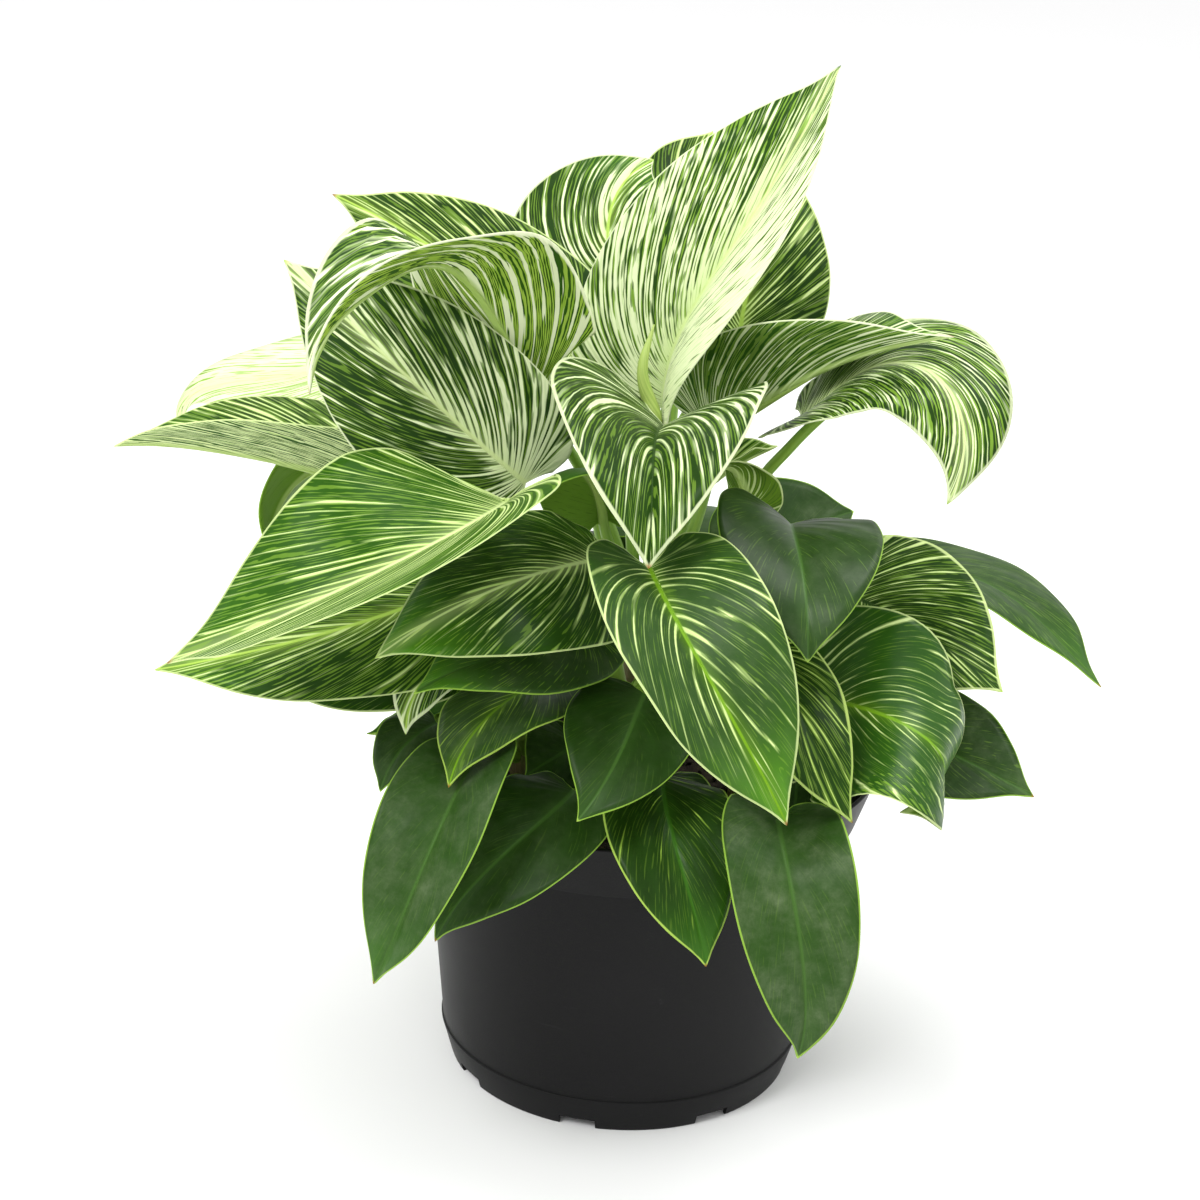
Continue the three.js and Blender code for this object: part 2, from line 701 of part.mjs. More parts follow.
function rodSolid(curve, startRadius, endRadius, steps, sides) {
  const frames = curve.computeFrenetFrames(steps, false);
  const points = [];
  for (let step = 0; step <= steps; step += 1) {
    const share = step / steps;
    const center = curve.getPointAt(share);
    const radius = THREE.MathUtils.lerp(startRadius, endRadius, share);
    for (let side = 0; side < sides; side += 1) {
      const angle = (2 * Math.PI * side) / sides;
      const point = center.clone();
      point.addScaledVector(frames.normals[step], radius * Math.cos(angle));
      point.addScaledVector(frames.binormals[step], radius * Math.sin(angle));
      points.push(point);
    }
  }
  const index = [];
  for (let step = 0; step < steps; step += 1) {
    for (let side = 0; side < sides; side += 1) {
      const [a, b] = [step * sides + side, step * sides + ((side + 1) % sides)];
      index.push(a, b, b + sides, a, b + sides, a + sides);
    }
  }
  const last = steps * sides;
  for (let side = 1; side < sides - 1; side += 1) {
    index.push(0, side + 1, side, last, last + side, last + side + 1);
  }
  const geometry = new THREE.BufferGeometry();
  geometry.setFromPoints(points);
  geometry.setIndex(index);
  return toSolid(geometry);
}

// Petiole: from the stem's axis up and out to the underside of the blade's base.

function petioleCurve(leaf, curve) {
  const stem = STEMS[leaf.stem];
  const root = stemAxis(stem, leaf.root);
  const { point, along, normal } = bladeFrame(leaf, curve, leaf.meets ?? PETIOLE_MEETS_BLADE);
  const top = point.addScaledVector(normal, -PETIOLE_UNDER_BLADE);
  if (leaf.via) {
    return new THREE.CatmullRomCurve3([root, ...leaf.via.map(vector), top]);
  }
  const reach = root.distanceTo(top) * PETIOLE_REACH;
  const outward = top.clone().sub(root).setZ(0).normalize();
  const leaving = outward.multiplyScalar(PETIOLE_LEAN).add(new THREE.Vector3(0, 0, 1)).normalize();
  const arriving = along.clone().add(new THREE.Vector3(0, 0, PETIOLE_ARCH)).normalize();
  return new THREE.CubicBezierCurve3(
    root,
    root.clone().addScaledVector(leaving, reach),
    top.clone().addScaledVector(arriving, -reach),
    top,
  );
}

function leafSolid(leaf) {
  const curve = new MidribCurve(leaf.midrib);
  const petiole = petioleCurve(leaf, curve);
  const stalk = rodSolid(petiole, PETIOLE_FOOT, PETIOLE_TOP, PETIOLE_STEPS, PETIOLE_SIDES);
  return bladeSolid(leaf, curve).add(stalk).subtract(stemSolid(STEMS[leaf.stem], FIT_GAP));
}

// New leaf: a rolled spike beside the youngest petiole.

function spikeSolid() {
  const curve = new THREE.CatmullRomCurve3(SPIKE.map(vector));
  const rod = rodSolid(curve, SPIKE_FOOT_RADIUS, SPIKE_TIP_RADIUS, SPIKE_STEPS, PETIOLE_SIDES);
  return rod.subtract(stemSolid(STEMS.main, FIT_GAP));
}

const plant = new THREE.Group();
plant.add(makeMesh('pot', potSolid(), POT_COLOR, POT_ROUGHNESS));
plant.add(makeMesh('soil', soilSolid(), SOIL_COLOR, SOIL_ROUGHNESS));
for (const [name, stem] of Object.entries(STEMS)) {
  plant.add(makeMesh(`stem_${name}`, stemSolid(stem, 0), STEM_COLOR, STEM_ROUGHNESS));
}
for (const [name, leaf] of Object.entries({ ...LEAVES, ...rearLeaves() })) {
  plant.add(makeMesh(name, leafSolid(leaf), LEAF_COLOR, LEAF_ROUGHNESS));
}
plant.add(makeMesh('new_leaf_spike', spikeSolid(), SPIKE_COLOR, LEAF_ROUGHNESS));

// The origin is on the ground under the middle of the plant's bounding box.
const middle = new THREE.Box3().setFromObject(plant).getCenter(new THREE.Vector3());
plant.position.set(-middle.x, -middle.y, 0);

export default plant;
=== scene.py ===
"""Looks of the potted philodendron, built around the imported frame.

The leaf, stem and pot tables are in millimetres from the pot's axis, as in the part's own source.
"""
import math

import bmesh
import bpy
import numpy as np
from mathutils import Matrix, Vector, noise


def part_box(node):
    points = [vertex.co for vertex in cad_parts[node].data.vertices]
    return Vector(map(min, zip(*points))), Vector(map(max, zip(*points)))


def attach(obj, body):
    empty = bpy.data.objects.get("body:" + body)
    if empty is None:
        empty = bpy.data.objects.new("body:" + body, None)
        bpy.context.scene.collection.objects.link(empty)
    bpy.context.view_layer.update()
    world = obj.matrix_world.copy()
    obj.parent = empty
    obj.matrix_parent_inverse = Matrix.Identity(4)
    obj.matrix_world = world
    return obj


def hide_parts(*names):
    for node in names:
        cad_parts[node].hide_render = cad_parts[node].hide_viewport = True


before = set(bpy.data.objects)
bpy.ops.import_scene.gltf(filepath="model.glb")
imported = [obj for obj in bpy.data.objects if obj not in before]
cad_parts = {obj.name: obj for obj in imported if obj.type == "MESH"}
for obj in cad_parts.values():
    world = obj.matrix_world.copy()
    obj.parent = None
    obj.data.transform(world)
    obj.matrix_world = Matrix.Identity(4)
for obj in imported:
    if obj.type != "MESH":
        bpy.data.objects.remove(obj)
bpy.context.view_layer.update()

POT_LOW, POT_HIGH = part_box("pot")
AXIS = np.array([(POT_LOW[0] + POT_HIGH[0]) / 2, (POT_LOW[1] + POT_HIGH[1]) / 2, 0.0])
MM = 0.001

# ---------------------------------------------------------------- sizes, as in the part's source

POT_HEIGHT = 117.4
RIM_RADIUS = 85
BAND_HEIGHT = 20.2
BAND_RADIUS = 78.6
WALL_TOP_RADIUS = 71.5
RING_HEIGHT = 12.9
RING_RADIUS = 64.1
RING_STEP = 0.6
FOOT_RADIUS = 60.6
POT_WALL = 1.5
FLOOR_UNDERSIDE = 6
NOTCH_COUNT = 8
NOTCH_TURN = -102
NOTCH_WIDTH = 12.5
NOTCH_HEIGHT = 3.6
DRAIN_RADIUS = 5
DRAIN_CIRCLE = 44
SOIL_TOP = 100
STEM_BOTTOM = 72
PETIOLE_TOP = 1.6
PETIOLE_FOOT = 2.6
PETIOLE_MEETS_BLADE = 0.08
PETIOLE_REACH = 0.38
PETIOLE_LEAN = 0.45
PETIOLE_ARCH = 0.8
BLADE_CURL = -10
BEND_SOFTNESS = 0.06
RIB_SWEEP = 0.45
SPIKE = [[7, 2, 162], [9, -1, 184], [7, -4, 209], [2, -5, 234], [-3, -8, 252], [0, -6, 267]]

# The blade's outline: where each rib leaves the midrib and where it meets the margin, along and
# across, as shares of the blade's length and half width, and how much of a lobe it has.
RIBS = [
    (0.0, -0.05, 0.27, 0.7),
    (0.006, -0.06, 0.55, 1.0),
    (0.018, 0.01, 0.82, 0.8),
    (0.045, 0.16, 0.98, 0.3),
    (0.11, 0.36, 1.0, 0.0),
    (0.21, 0.57, 0.85, 0.0),
    (0.37, 0.76, 0.54, 0.0),
    (0.62, 0.91, 0.17, 0.0),
    (1.0, 1.0, 0.0, 0.0),
]

STEMS = {
    "main": dict(bottom=[0, 8], top=[3, 5, 168], radii=[9, 6.5]),
    "front": dict(bottom=[-5, -20], top=[-7, -25, 152], radii=[6.5, 5]),
    "left": dict(bottom=[-32, 0], top=[-42, -9, 168], radii=[7.5, 5.5]),
    "right": dict(bottom=[38, 4], top=[46, 2, 168], radii=[7.5, 5.5]),
    "rear": dict(bottom=[4, 40], top=[5, 43, 150], radii=[6, 5]),
}

# stem, root: the stem it grows from, and at what height; width: of the whole blade.
# left, right: how far each half folds up, in degrees, along the blade; right is as left where it
# isn't given. curl: how much further the halves bend up to their margins.
# midrib: points along it; face: where the upper face looks, along the blade; via: points of the
# petiole on its way up; meets: where it reaches the blade; lobes: how much shorter the lobes are.
# veins: as VEINS, for a leaf whose ribs run differently.
LEAVES = {
    "leaf_crown": dict(
        stem="main", root=164, width=72, left=[28], right=[66, 48, 48], curl=-15, veins=(1.5, 1.0),
        midrib=[[5, 20, 232], [9, 17, 259], [27, 18, 293], [44, 26, 322], [57, 42, 345]],
        face=[[-0.5, -0.85, 0.2]],
    ),
    "leaf_back_left": dict(
        stem="main", root=138, width=76, left=[10], curl=-25, veins=(1.8, 1.6),
        midrib=[[-5, 60, 252], [-16, 68, 269], [-17, 82, 286], [-3, 100, 300]],
        face=[[-0.1, -0.7, 0.7]], via=[[-5, 34, 190]],
    ),
    "leaf_back_center": dict(
        stem="main", root=112, width=36, left=[10], veins=(1.6, 1.2),
        midrib=[[9, 104, 276], [9, 112, 287], [12, 121, 296], [18, 128, 306]],
        face=[[0, -0.8, 0.6]],
    ),
    "leaf_back_right": dict(
        stem="main", root=150, width=56, left=[12], veins=(1.8, 0.8),
        midrib=[[30, 54, 245], [33, 62, 267], [41, 74, 286], [48, 88, 299]],
        face=[[0.2, -0.8, 0.5]], via=[[6, 44, 205]],
    ),
    "leaf_upper_left_rear": dict(
        stem="main", root=128, width=50, left=[8], veins=(1.6, 0.8),
        midrib=[[-26, 40, 247], [-54, 50, 262], [-85, 58, 278], [-113, 62, 290]],
        face=[[-0.2, -0.75, 0.6]], via=[[-14, 26, 180]],
    ),
    "leaf_upper_left_arching": dict(
        stem="main", root=148, width=60, left=[0, 12, 45], right=[30, 40, 15], curl=0,
        veins=(1.6, 1.0),
        midrib=[[-34, 4, 241], [-50, -8, 264], [-70, -30, 289], [-87, -58, 285], [-97, -80, 276],
          [-100, -88, 262]],
        face=[[-0.3, 0.95, 0.2], [-0.25, 0.1, 1], [-0.8, -0.45, 0.3]], via=[[-12, 17, 190]],
    ),
    "leaf_upper_left": dict(
        stem="left", root=166, width=61, left=[6],
        midrib=[[-39, -15, 214], [-62, -22, 236], [-87, -18, 257], [-120, -4, 282]],
        face=[[-0.1, -0.85, 0.5]],
    ),
    "leaf_left": dict(
        stem="left", root=146, width=70, left=[39], veins=(1.6, 0.8),
        midrib=[[-76, 30, 190], [-103, 20, 202], [-138, 14, 210], [-165, 14, 212], [-181, 16, 210]],
        face=[[0, 0.13, 1]],
    ),
    "leaf_left_rear": dict(
        stem="main", root=114, width=60, left=[5], veins=(1.6, 0.8),
        midrib=[[-76, 85, 214], [-113, 85, 223], [-149, 85, 215], [-168, 85, 208], [-172, 85, 197]],
        face=[[0, -0.3, 1]],
    ),
    "leaf_left_drooping": dict(
        stem="left", root=130, width=42, left=[15],
        midrib=[[-100, 60, 188], [-119, 52, 193], [-129, 43, 182], [-129, 31, 165]],
        face=[[-0.5, 0.5, 0.6]],
    ),
    "leaf_middle_left": dict(
        stem="left", root=148, width=78, left=[48, 42], right=[15, 10], curl=0, lobes=-0.12,
        veins=(1.5, 0.6),
        midrib=[[-43, -55, 221], [-61, -86, 218], [-83, -102, 210], [-112, -104, 195],
          [-142, -96, 178]],
        face=[[-0.1, -0.6, 0.8]], via=[[-46, -24, 186], [-52, -42, 208]],
    ),
    "leaf_middle_left_under": dict(
        stem="left", root=136, width=56, left=[-20, 5, 5], right=[-10, 5, 5],
        midrib=[[-50, -32, 189], [-78, -51, 181], [-113, -62, 172], [-152, -66, 163]],
        face=[[0, -0.6, 0.8]],
    ),
    "leaf_middle_left_lowest": dict(
        stem="left", root=128, width=42, left=[5],
        midrib=[[-56, -16, 162], [-79, -25, 155], [-104, -32, 150], [-123, -36, 147]],
        face=[[0, -0.6, 0.8]],
    ),
    "leaf_center_left": dict(
        stem="front", root=148, width=57, left=[-30, -12, -12], right=[20, -8, 4],
        midrib=[[-11, -42, 199], [-31, -68, 203], [-54, -86, 198], [-79, -96, 183]],
        face=[[-0.1, -0.5, 0.85]],
    ),
    "leaf_center_front": dict(
        stem="front", root=134, width=56, left=[25, 20, 15], right=[40, 35, 20], veins=(1.3, 1.1),
        midrib=[[2, -72, 208], [14, -96, 195], [30, -112, 174], [47, -118, 145]],
        face=[[0.1, -0.75, 0.65]], via=[[6, -50, 172]],
    ),
    "leaf_shield_front": dict(
        stem="main", root=156, width=76, left=[35], lobes=0.07, veins=(1.8, 1.8),
        midrib=[[5, -18, 237], [2, -48, 240], [2, -76, 231], [2, -88, 213]],
        face=[[0, -0.2, 1], [0, -0.7, 0.7], [0, -1, 0.2]],
    ),
    "leaf_upper_right": dict(
        stem="main", root=154, width=64, left=[42], right=[60, 42, 42], veins=(1.7, 0.8),
        midrib=[[20, 36, 220], [40, 14, 239], [57, -4, 255], [75, -20, 267], [94, -26, 273]],
        face=[[0, 0.1, 1]], via=[[16, 9, 190]],
    ),
    "leaf_right_arching": dict(
        stem="right", root=146, width=58, left=[10], right=[30, -5, -5], curl=-15, meets=0.3,
        veins=(1.6, 0.8),
        midrib=[[50, 8, 234], [64, 0, 250], [80, -12, 260], [93, -26, 257], [99, -36, 243],
          [95, -40, 222]],
        face=[[-0.5, -0.15, 0.85], [-0.4, -0.2, 0.9], [0, -0.35, 0.95], [0.45, -0.65, 0.6],
          [0.25, -0.95, 0.2], [0.2, -0.95, 0.1]], via=[[36, 12, 203], [48, 7, 225]],
    ),
    "leaf_small_curled": dict(
        stem="right", root=160, width=24, left=[30],
        midrib=[[34, -2, 203], [31, -12, 218], [26, -18, 224], [16, -22, 216]],
        face=[[0.3, 0.3, 0.9]],
    ),
    "leaf_small_right": dict(
        stem="main", root=129, width=26, left=[35],
        midrib=[[19, 38, 200], [32, 42, 207], [45, 44, 213]],
        face=[[0, 0, 1]],
    ),
    "leaf_shield_right": dict(
        stem="right", root=144, width=54, left=[25, 10], curl=-15,
        midrib=[[47, -30, 210], [49, -60, 208], [51, -76, 198], [52, -82, 183]],
        face=[[0.2, -0.3, 1], [0.1, -0.8, 0.6], [0, -1, 0.3]],
    ),
    "leaf_rear_right_round": dict(
        stem="main", root=124, width=56, left=[5],
        midrib=[[42, 50, 163], [56, 62, 174], [76, 75, 180]],
        face=[[0, -0.8, 0.6]],
    ),
    "leaf_right_middle": dict(
        stem="right", root=132, width=60, left=[5], curl=-15,
        midrib=[[67, 18, 171], [84, -2, 170], [103, -20, 165], [120, -32, 156]],
        face=[[-0.1, -0.75, 0.65]],
    ),
    "leaf_far_right": dict(
        stem="right", root=120, width=52, left=[-8], right=[25],
        midrib=[[84, 38, 172], [110, 28, 175], [130, 14, 170], [144, 3, 160], [157, -6, 149]],
        face=[[0.2, -0.35, 0.9]],
    ),
    "leaf_right_recurved": dict(
        stem="right", root=122, width=67, left=[0, 0, 50], right=[0],
        midrib=[[62, -34, 148], [80, -62, 158], [96, -68, 150], [97, -57, 130], [88, -50, 119]],
        face=[[0, -0.85, 0.5], [0.4, -0.85, 0.3], [0.95, -0.1, 0.1], [0.7, 0.5, -0.4]],
        via=[[58, -10, 126]],
    ),
    "leaf_right_low": dict(
        stem="right", root=108, width=46, left=[5], right=[18],
        midrib=[[84, 0, 129], [103, -16, 128], [120, -26, 124], [134, -32, 119]],
        face=[[0.1, -0.7, 0.7]],
    ),
    "leaf_center_right": dict(
        stem="right", root=134, width=31, left=[5], veins=(1.5, 0.8),
        midrib=[[40, -53, 175], [50, -72, 165], [60, -87, 149], [69, -91, 134]],
        face=[[0.2, -0.8, 0.5]],
    ),
    "leaf_low_front": dict(
        stem="front", root=107, width=40, left=[8],
        midrib=[[10, -66, 136], [14, -92, 126], [21, -105, 109], [26, -107, 90]],
        face=[[0.1, -0.8, 0.5]],
    ),
    "leaf_low_front_right": dict(
        stem="right", root=106, width=41, left=[25], right=[22],
        midrib=[[46, -80, 130], [50, -104, 120], [55, -114, 98], [56, -110, 61]],
        face=[[0.1, -0.85, 0.4]], via=[[38, -38, 120]],
    ),
    "leaf_low_left": dict(
        stem="left", root=110, width=40, left=[45], right=[8],
        midrib=[[-49, -78, 144], [-57, -100, 132], [-66, -111, 110], [-77, -109, 79]],
        face=[[-0.1, -0.8, 0.5]],
    ),
    "leaf_low_left_inner": dict(
        stem="front", root=104, width=40, left=[8],
        midrib=[[-18, -66, 129], [-31, -86, 123], [-46, -95, 110], [-59, -98, 89]],
        face=[[-0.1, -0.6, 0.8]], via=[[-12, -45, 112]],
    ),
    "leaf_low_center_left": dict(
        stem="front", root=116, width=42, left=[8],
        midrib=[[3, -62, 162], [-2, -84, 156], [-8, -98, 147], [-16, -104, 136]],
        face=[[-0.1, -0.75, 0.6]],
    ),
    "leaf_low_left_upper": dict(
        stem="front", root=112, width=43, left=[12], right=[-10],
        midrib=[[-28, -40, 159], [-41, -66, 158], [-52, -86, 151], [-56, -95, 141]],
        face=[[-0.1, -0.4, 0.9]],
    ),
    "leaf_low_left_bright": dict(
        stem="front", root=128, width=40, left=[5], right=[10],
        midrib=[[-16, -40, 174], [-37, -70, 177], [-53, -88, 178], [-67, -98, 173]],
        face=[[0, -0.6, 0.8]],
    ),
    "leaf_low_left_upright": dict(
        stem="left", root=116, width=26, left=[20], right=[5], veins=(1.8, 1.0),
        midrib=[[-50, -34, 167], [-62, -40, 162], [-72, -46, 149], [-74, -48, 137]],
        face=[[-0.2, -0.7, 0.6]],
    ),
    "leaf_small_left": dict(
        stem="left", root=112, width=26, left=[30],
        midrib=[[-56, -8, 137], [-75, -20, 127], [-89, -28, 128]],
        face=[[0, 0.2, 1]],
    ),
    "leaf_small_left_low": dict(
        stem="left", root=106, width=26, left=[5],
        midrib=[[-65, -32, 135], [-78, -46, 127], [-82, -50, 117]],
        face=[[-0.4, -0.6, 0.6]],
    ),
    "leaf_inner_arched": dict(
        stem="main", root=160, width=38, left=[-10],
        midrib=[[-14, 8, 195], [-20, -9, 217], [-27, -25, 222], [-33, -36, 217]],
        face=[[-0.2, 0.3, 0.9]],
    ),
    "leaf_inner_left": dict(
        stem="left", root=104, width=30, left=[5],
        midrib=[[-18, -30, 129], [-27, -40, 127], [-35, -45, 123]],
        face=[[0, -0.7, 0.7]],
    ),
    "leaf_inner_right": dict(
        stem="right", root=104, width=28, left=[5],
        midrib=[[56, -20, 128], [55, -34, 118], [54, -42, 108]],
        face=[[0, -0.8, 0.5]],
    ),
}

REAR_SEED = 20240611
REAR_FANS = [
    dict(count=4, first_turn=28, last_turn=152, base_out=32, height=124, reach=62, drop=20, root=104),
    dict(count=3, first_turn=46, last_turn=134, base_out=32, height=158, reach=60, drop=22, root=130),
]
REAR_STEP = 11
REAR_ROOT_STEP = 7
REAR_WIDTH = 50
REAR_LEAN = 0.25
REAR_JITTER = 3
RANDOM_FACTOR = 1664525
RANDOM_OFFSET = 1013904223


def random_source(seed):
    """A small repeatable random source with values from -1 to 1."""
    state = seed
    while True:
        state = (state * RANDOM_FACTOR + RANDOM_OFFSET) % 2**32
        yield state / 2**31 - 1


def rear_leaf(fan, index, values):
    share = index / (fan["count"] - 1)
    degrees = fan["first_turn"] + (fan["last_turn"] - fan["first_turn"]) * share
    turn = math.radians(degrees + REAR_JITTER * next(values))
    east, north = math.cos(turn), math.sin(turn)
    center = STEMS["rear"]["top"]
    reach = fan["reach"] + REAR_JITTER * next(values)
    height = fan["height"] + (index % 2) * REAR_STEP
    width = REAR_WIDTH + REAR_JITTER * next(values)

    def at(out, level):
        return [center[0] + east * out, center[1] + north * out, level]

    return dict(
        stem="rear", root=fan["root"] + index * REAR_ROOT_STEP, width=width,
        left=[REAR_JITTER],
        midrib=[
            at(fan["base_out"], height),
            at(fan["base_out"] + reach / 3, height + REAR_JITTER),
            at(fan["base_out"] + 2 * reach / 3, height - fan["drop"] / 4),
            at(fan["base_out"] + reach, height - fan["drop"]),
        ],
        face=[[REAR_LEAN * east, REAR_LEAN * north, 1]],
    )


values = random_source(REAR_SEED)
rear_places = [(fan, index) for fan in REAR_FANS for index in range(fan["count"])]
for number, (fan, index) in enumerate(rear_places, 1):
    LEAVES[f"leaf_rear_{number}"] = rear_leaf(fan, index, values)

# ---------------------------------------------------------------- curves and blades


def unit(rows):
    return rows / np.maximum(np.linalg.norm(rows, axis=-1, keepdims=True), 1e-9)


def blend(items, shares, soften=0.0):
    """A list of numbers or vectors, read along the share from 0 to 1."""
    items = np.asarray(items, float)
    if len(items) == 1:
        return np.broadcast_to(items[0], shares.shape + items.shape[1:])
    knots = np.linspace(0, 1, len(items))
    offsets = np.linspace(-soften, soften, 5) if soften else [0.0]
    total = 0
    for offset in offsets:
        at = np.clip(shares + offset, 0, 1)
        if items.ndim == 1:
            total = total + np.interp(at, knots, items)
        else:
            columns = [np.interp(at, knots, items[:, axis]) for axis in range(items.shape[1])]
            total = total + np.stack(columns, -1)
    return total / len(offsets)


class Midrib:
    """The polynomial through a leaf's midrib points, measured along its length."""

    SAMPLES = 400

    def __init__(self, points):
        self.points = np.array(points, float)
        steps = np.linalg.norm(np.diff(self.points, axis=0), axis=1)
        self.stations = np.concatenate([[0], np.cumsum(steps)]) / steps.sum()
        self.ticks = np.linspace(0, 1, self.SAMPLES)
        samples = self.raw(self.ticks)
        lengths = np.linalg.norm(np.diff(samples, axis=0), axis=1)
        self.along = np.concatenate([[0], np.cumsum(lengths)])
        self.length = self.along[-1]

    def raw(self, ticks):
        row = [np.broadcast_to(point, (len(ticks), 3)) for point in self.points]
        for span in range(1, len(self.points)):
            for index in range(len(self.points) - span):
                start, end = self.stations[index], self.stations[index + span]
                part = ((ticks - start) / (end - start))[:, None]
                row[index] = row[index] * (1 - part) + row[index + 1] * part
        return row[0]

    def at(self, shares):
        """Points and directions; below 0 the midrib goes on straight."""
        flat = np.asarray(shares, float).ravel()
        inside = np.clip(flat, 0, 1)
        ticks = np.interp(inside * self.length, self.along, self.ticks)
        step = 1e-3
        before, after = np.clip(ticks - step, 0, 1), np.clip(ticks + step, 0, 1)
        direction = unit(self.raw(after) - self.raw(before))
        point = self.raw(ticks) + direction * ((flat - inside) * self.length)[:, None]
        shape = np.shape(shares) + (3,)
        return point.reshape(shape), direction.reshape(shape)


def blade_frame(leaf, midrib, shares):
    point, along = midrib.at(shares)
    normal = blend(leaf["face"], np.clip(shares, 0, 1), BEND_SOFTNESS)
    normal = normal - along * np.sum(normal * along, -1, keepdims=True)
    return point, along, unit(normal)


def blade_points(leaf, midrib, shares, across):
    """Points of the blade's upper face at shares of its length and half width."""
    point, along, normal = blade_frame(leaf, midrib, shares)
    side = np.cross(along, normal)
    left = blend(leaf["left"], np.clip(shares, 0, 1), BEND_SOFTNESS)
    right = blend(leaf.get("right", leaf["left"]), np.clip(shares, 0, 1), BEND_SOFTNESS)
    fold = np.radians(np.where(across < 0, left, right))
    distance = np.abs(across) * leaf["width"] / 2
    bend = math.radians(leaf.get("curl", BLADE_CURL) or 1e-3) / (leaf["width"] / 2)
    out = (np.sin(fold + bend * distance) - np.sin(fold)) / bend
    up = (np.cos(fold) - np.cos(fold + bend * distance)) / bend
    return point + side * (out * np.sign(across))[..., None] + normal * up[..., None]


def hermite(t, start, end, start_slope, end_slope):
    return (
        start * (2 * t**3 - 3 * t**2 + 1) + start_slope * (t**3 - 2 * t**2 + t)
        + end * (3 * t**2 - 2 * t**3) + end_slope * (t**3 - t**2)
    )


def smooth_table(table, places):
    """A table's rows read as a smooth curve, at places from 0 to 1."""
    table = np.asarray(table, float)
    slopes = np.gradient(table, axis=0)
    position = np.clip(places, 0, 1) * (len(table) - 1)
    index = np.minimum(position.astype(int), len(table) - 2)
    t = (position - index)[:, None]
    return hermite(t, table[index], table[index + 1], slopes[index], slopes[index + 1])


def through_points(points, count):
    """An evenly stepped smooth curve through a few points (centripetal Catmull-Rom)."""
    points = np.array(points, float)
    ends = [2 * points[0] - points[1], *points, 2 * points[-1] - points[-2]]
    samples = []
    for index in range(len(points) - 1):
        p0, p1, p2, p3 = ends[index:index + 4]
        d0, d1, d2 = (math.sqrt(np.linalg.norm(b - a)) for a, b in ((p0, p1), (p1, p2), (p2, p3)))
        t1 = ((p1 - p0) / d0 - (p2 - p0) / (d0 + d1) + (p2 - p1) / d1) * d1
        t2 = ((p2 - p1) / d1 - (p3 - p1) / (d1 + d2) + (p3 - p2) / d2) * d1
        samples += [hermite(t, p1, p2, t1, t2) for t in np.linspace(0, 1, 24, endpoint=False)]
    samples.append(points[-1])
    return even(np.array(samples), count)


def even(samples, count):
    along = np.concatenate([[0], np.cumsum(np.linalg.norm(np.diff(samples, axis=0), axis=1))])
    places = np.linspace(0, along[-1], count)
    return np.stack([np.interp(places, along, samples[:, axis]) for axis in range(3)], -1)


def stem_axis(stem, height):
    bottom = np.array([*stem["bottom"], STEM_BOTTOM], float)
    top = np.array(stem["top"], float)
    return bottom + (top - bottom) * (height - STEM_BOTTOM) / (top[2] - STEM_BOTTOM)


def petiole_points(leaf, midrib):
    stem = STEMS[leaf["stem"]]
    root = stem_axis(stem, leaf["root"])
    meets = leaf.get("meets", PETIOLE_MEETS_BLADE)
    point, along, normal = (rows[0] for rows in blade_frame(leaf, midrib, np.array([meets])))
    top = point - normal * (PETIOLE_TOP + PETIOLE_SKIN)
    if "via" in leaf:
        return through_points([root, *leaf["via"], top], PETIOLE_RINGS)
    reach = np.linalg.norm(top - root) * PETIOLE_REACH
    outward = unit((top - root) * [1, 1, 0])
    leaving = unit(outward * PETIOLE_LEAN + [0, 0, 1])
    arriving = unit(along + [0, 0, PETIOLE_ARCH])
    corners = [root, root + leaving * reach, top - arriving * reach, top]
    t = np.linspace(0, 1, 60)[:, None]
    weights = [(1 - t) ** 3, 3 * t * (1 - t) ** 2, 3 * t**2 * (1 - t), t**3]
    return even(sum(w * c for w, c in zip(weights, corners)), PETIOLE_RINGS)


# ---------------------------------------------------------------- mesh helpers


def link(name, data):
    thing = bpy.data.objects.new(name, data)
    bpy.context.scene.collection.objects.link(thing)
    return thing


class Shape:
    """Faces gathered for one object, with a value per point for each named attribute."""

    def __init__(self):
        self.points, self.faces, self.slots, self.flat = [], [], [], []
        self.values = {}
        self.count = 0

    def add(self, points, faces, slot=0, flat=False, **values):
        points = np.asarray(points, float)
        start = self.count
        self.points.append(points)
        self.faces.extend(tuple(int(i) + start for i in face) for face in faces)
        self.slots.extend([slot] * len(faces))
        self.flat.extend([flat] * len(faces))
        self.count += len(points)
        for name, column in values.items():
            whole = self.values.setdefault(name, [])
            gap = start - sum(len(part) for part in whole)
            if gap:
                whole.append(np.zeros(gap))
            whole.append(np.broadcast_to(np.asarray(column, float), (len(points),)))
        return start

    def build(self, name, materials, node=None, slot=None):
        mesh = bpy.data.meshes.new(name)
        points = np.concatenate(self.points) * MM + AXIS
        mesh.from_pydata(points.tolist(), [], self.faces)
        mesh.polygons.foreach_set("material_index", self.slots)
        mesh.polygons.foreach_set("use_smooth", [not flat for flat in self.flat])
        for label, parts in self.values.items():
            column = np.concatenate(parts)
            column = np.concatenate([column, np.zeros(self.count - len(column))])
            layer = mesh.attributes.new(label, "FLOAT", "POINT")
            layer.data.foreach_set("value", column.astype(np.float32))
        for material in materials:
            mesh.materials.append(material)
        mesh.validate()
        mesh.update()
        piece = link(name, mesh)
        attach(piece, "root")
        if node:
            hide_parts(node)


def around(sides, turn=0.0):
    """Cosine and sine of evenly spaced angles; turn is a share of one step."""
    angles = [2 * math.pi * (side + turn) / sides for side in range(sides)]
    return [(math.cos(angle), math.sin(angle)) for angle in angles]


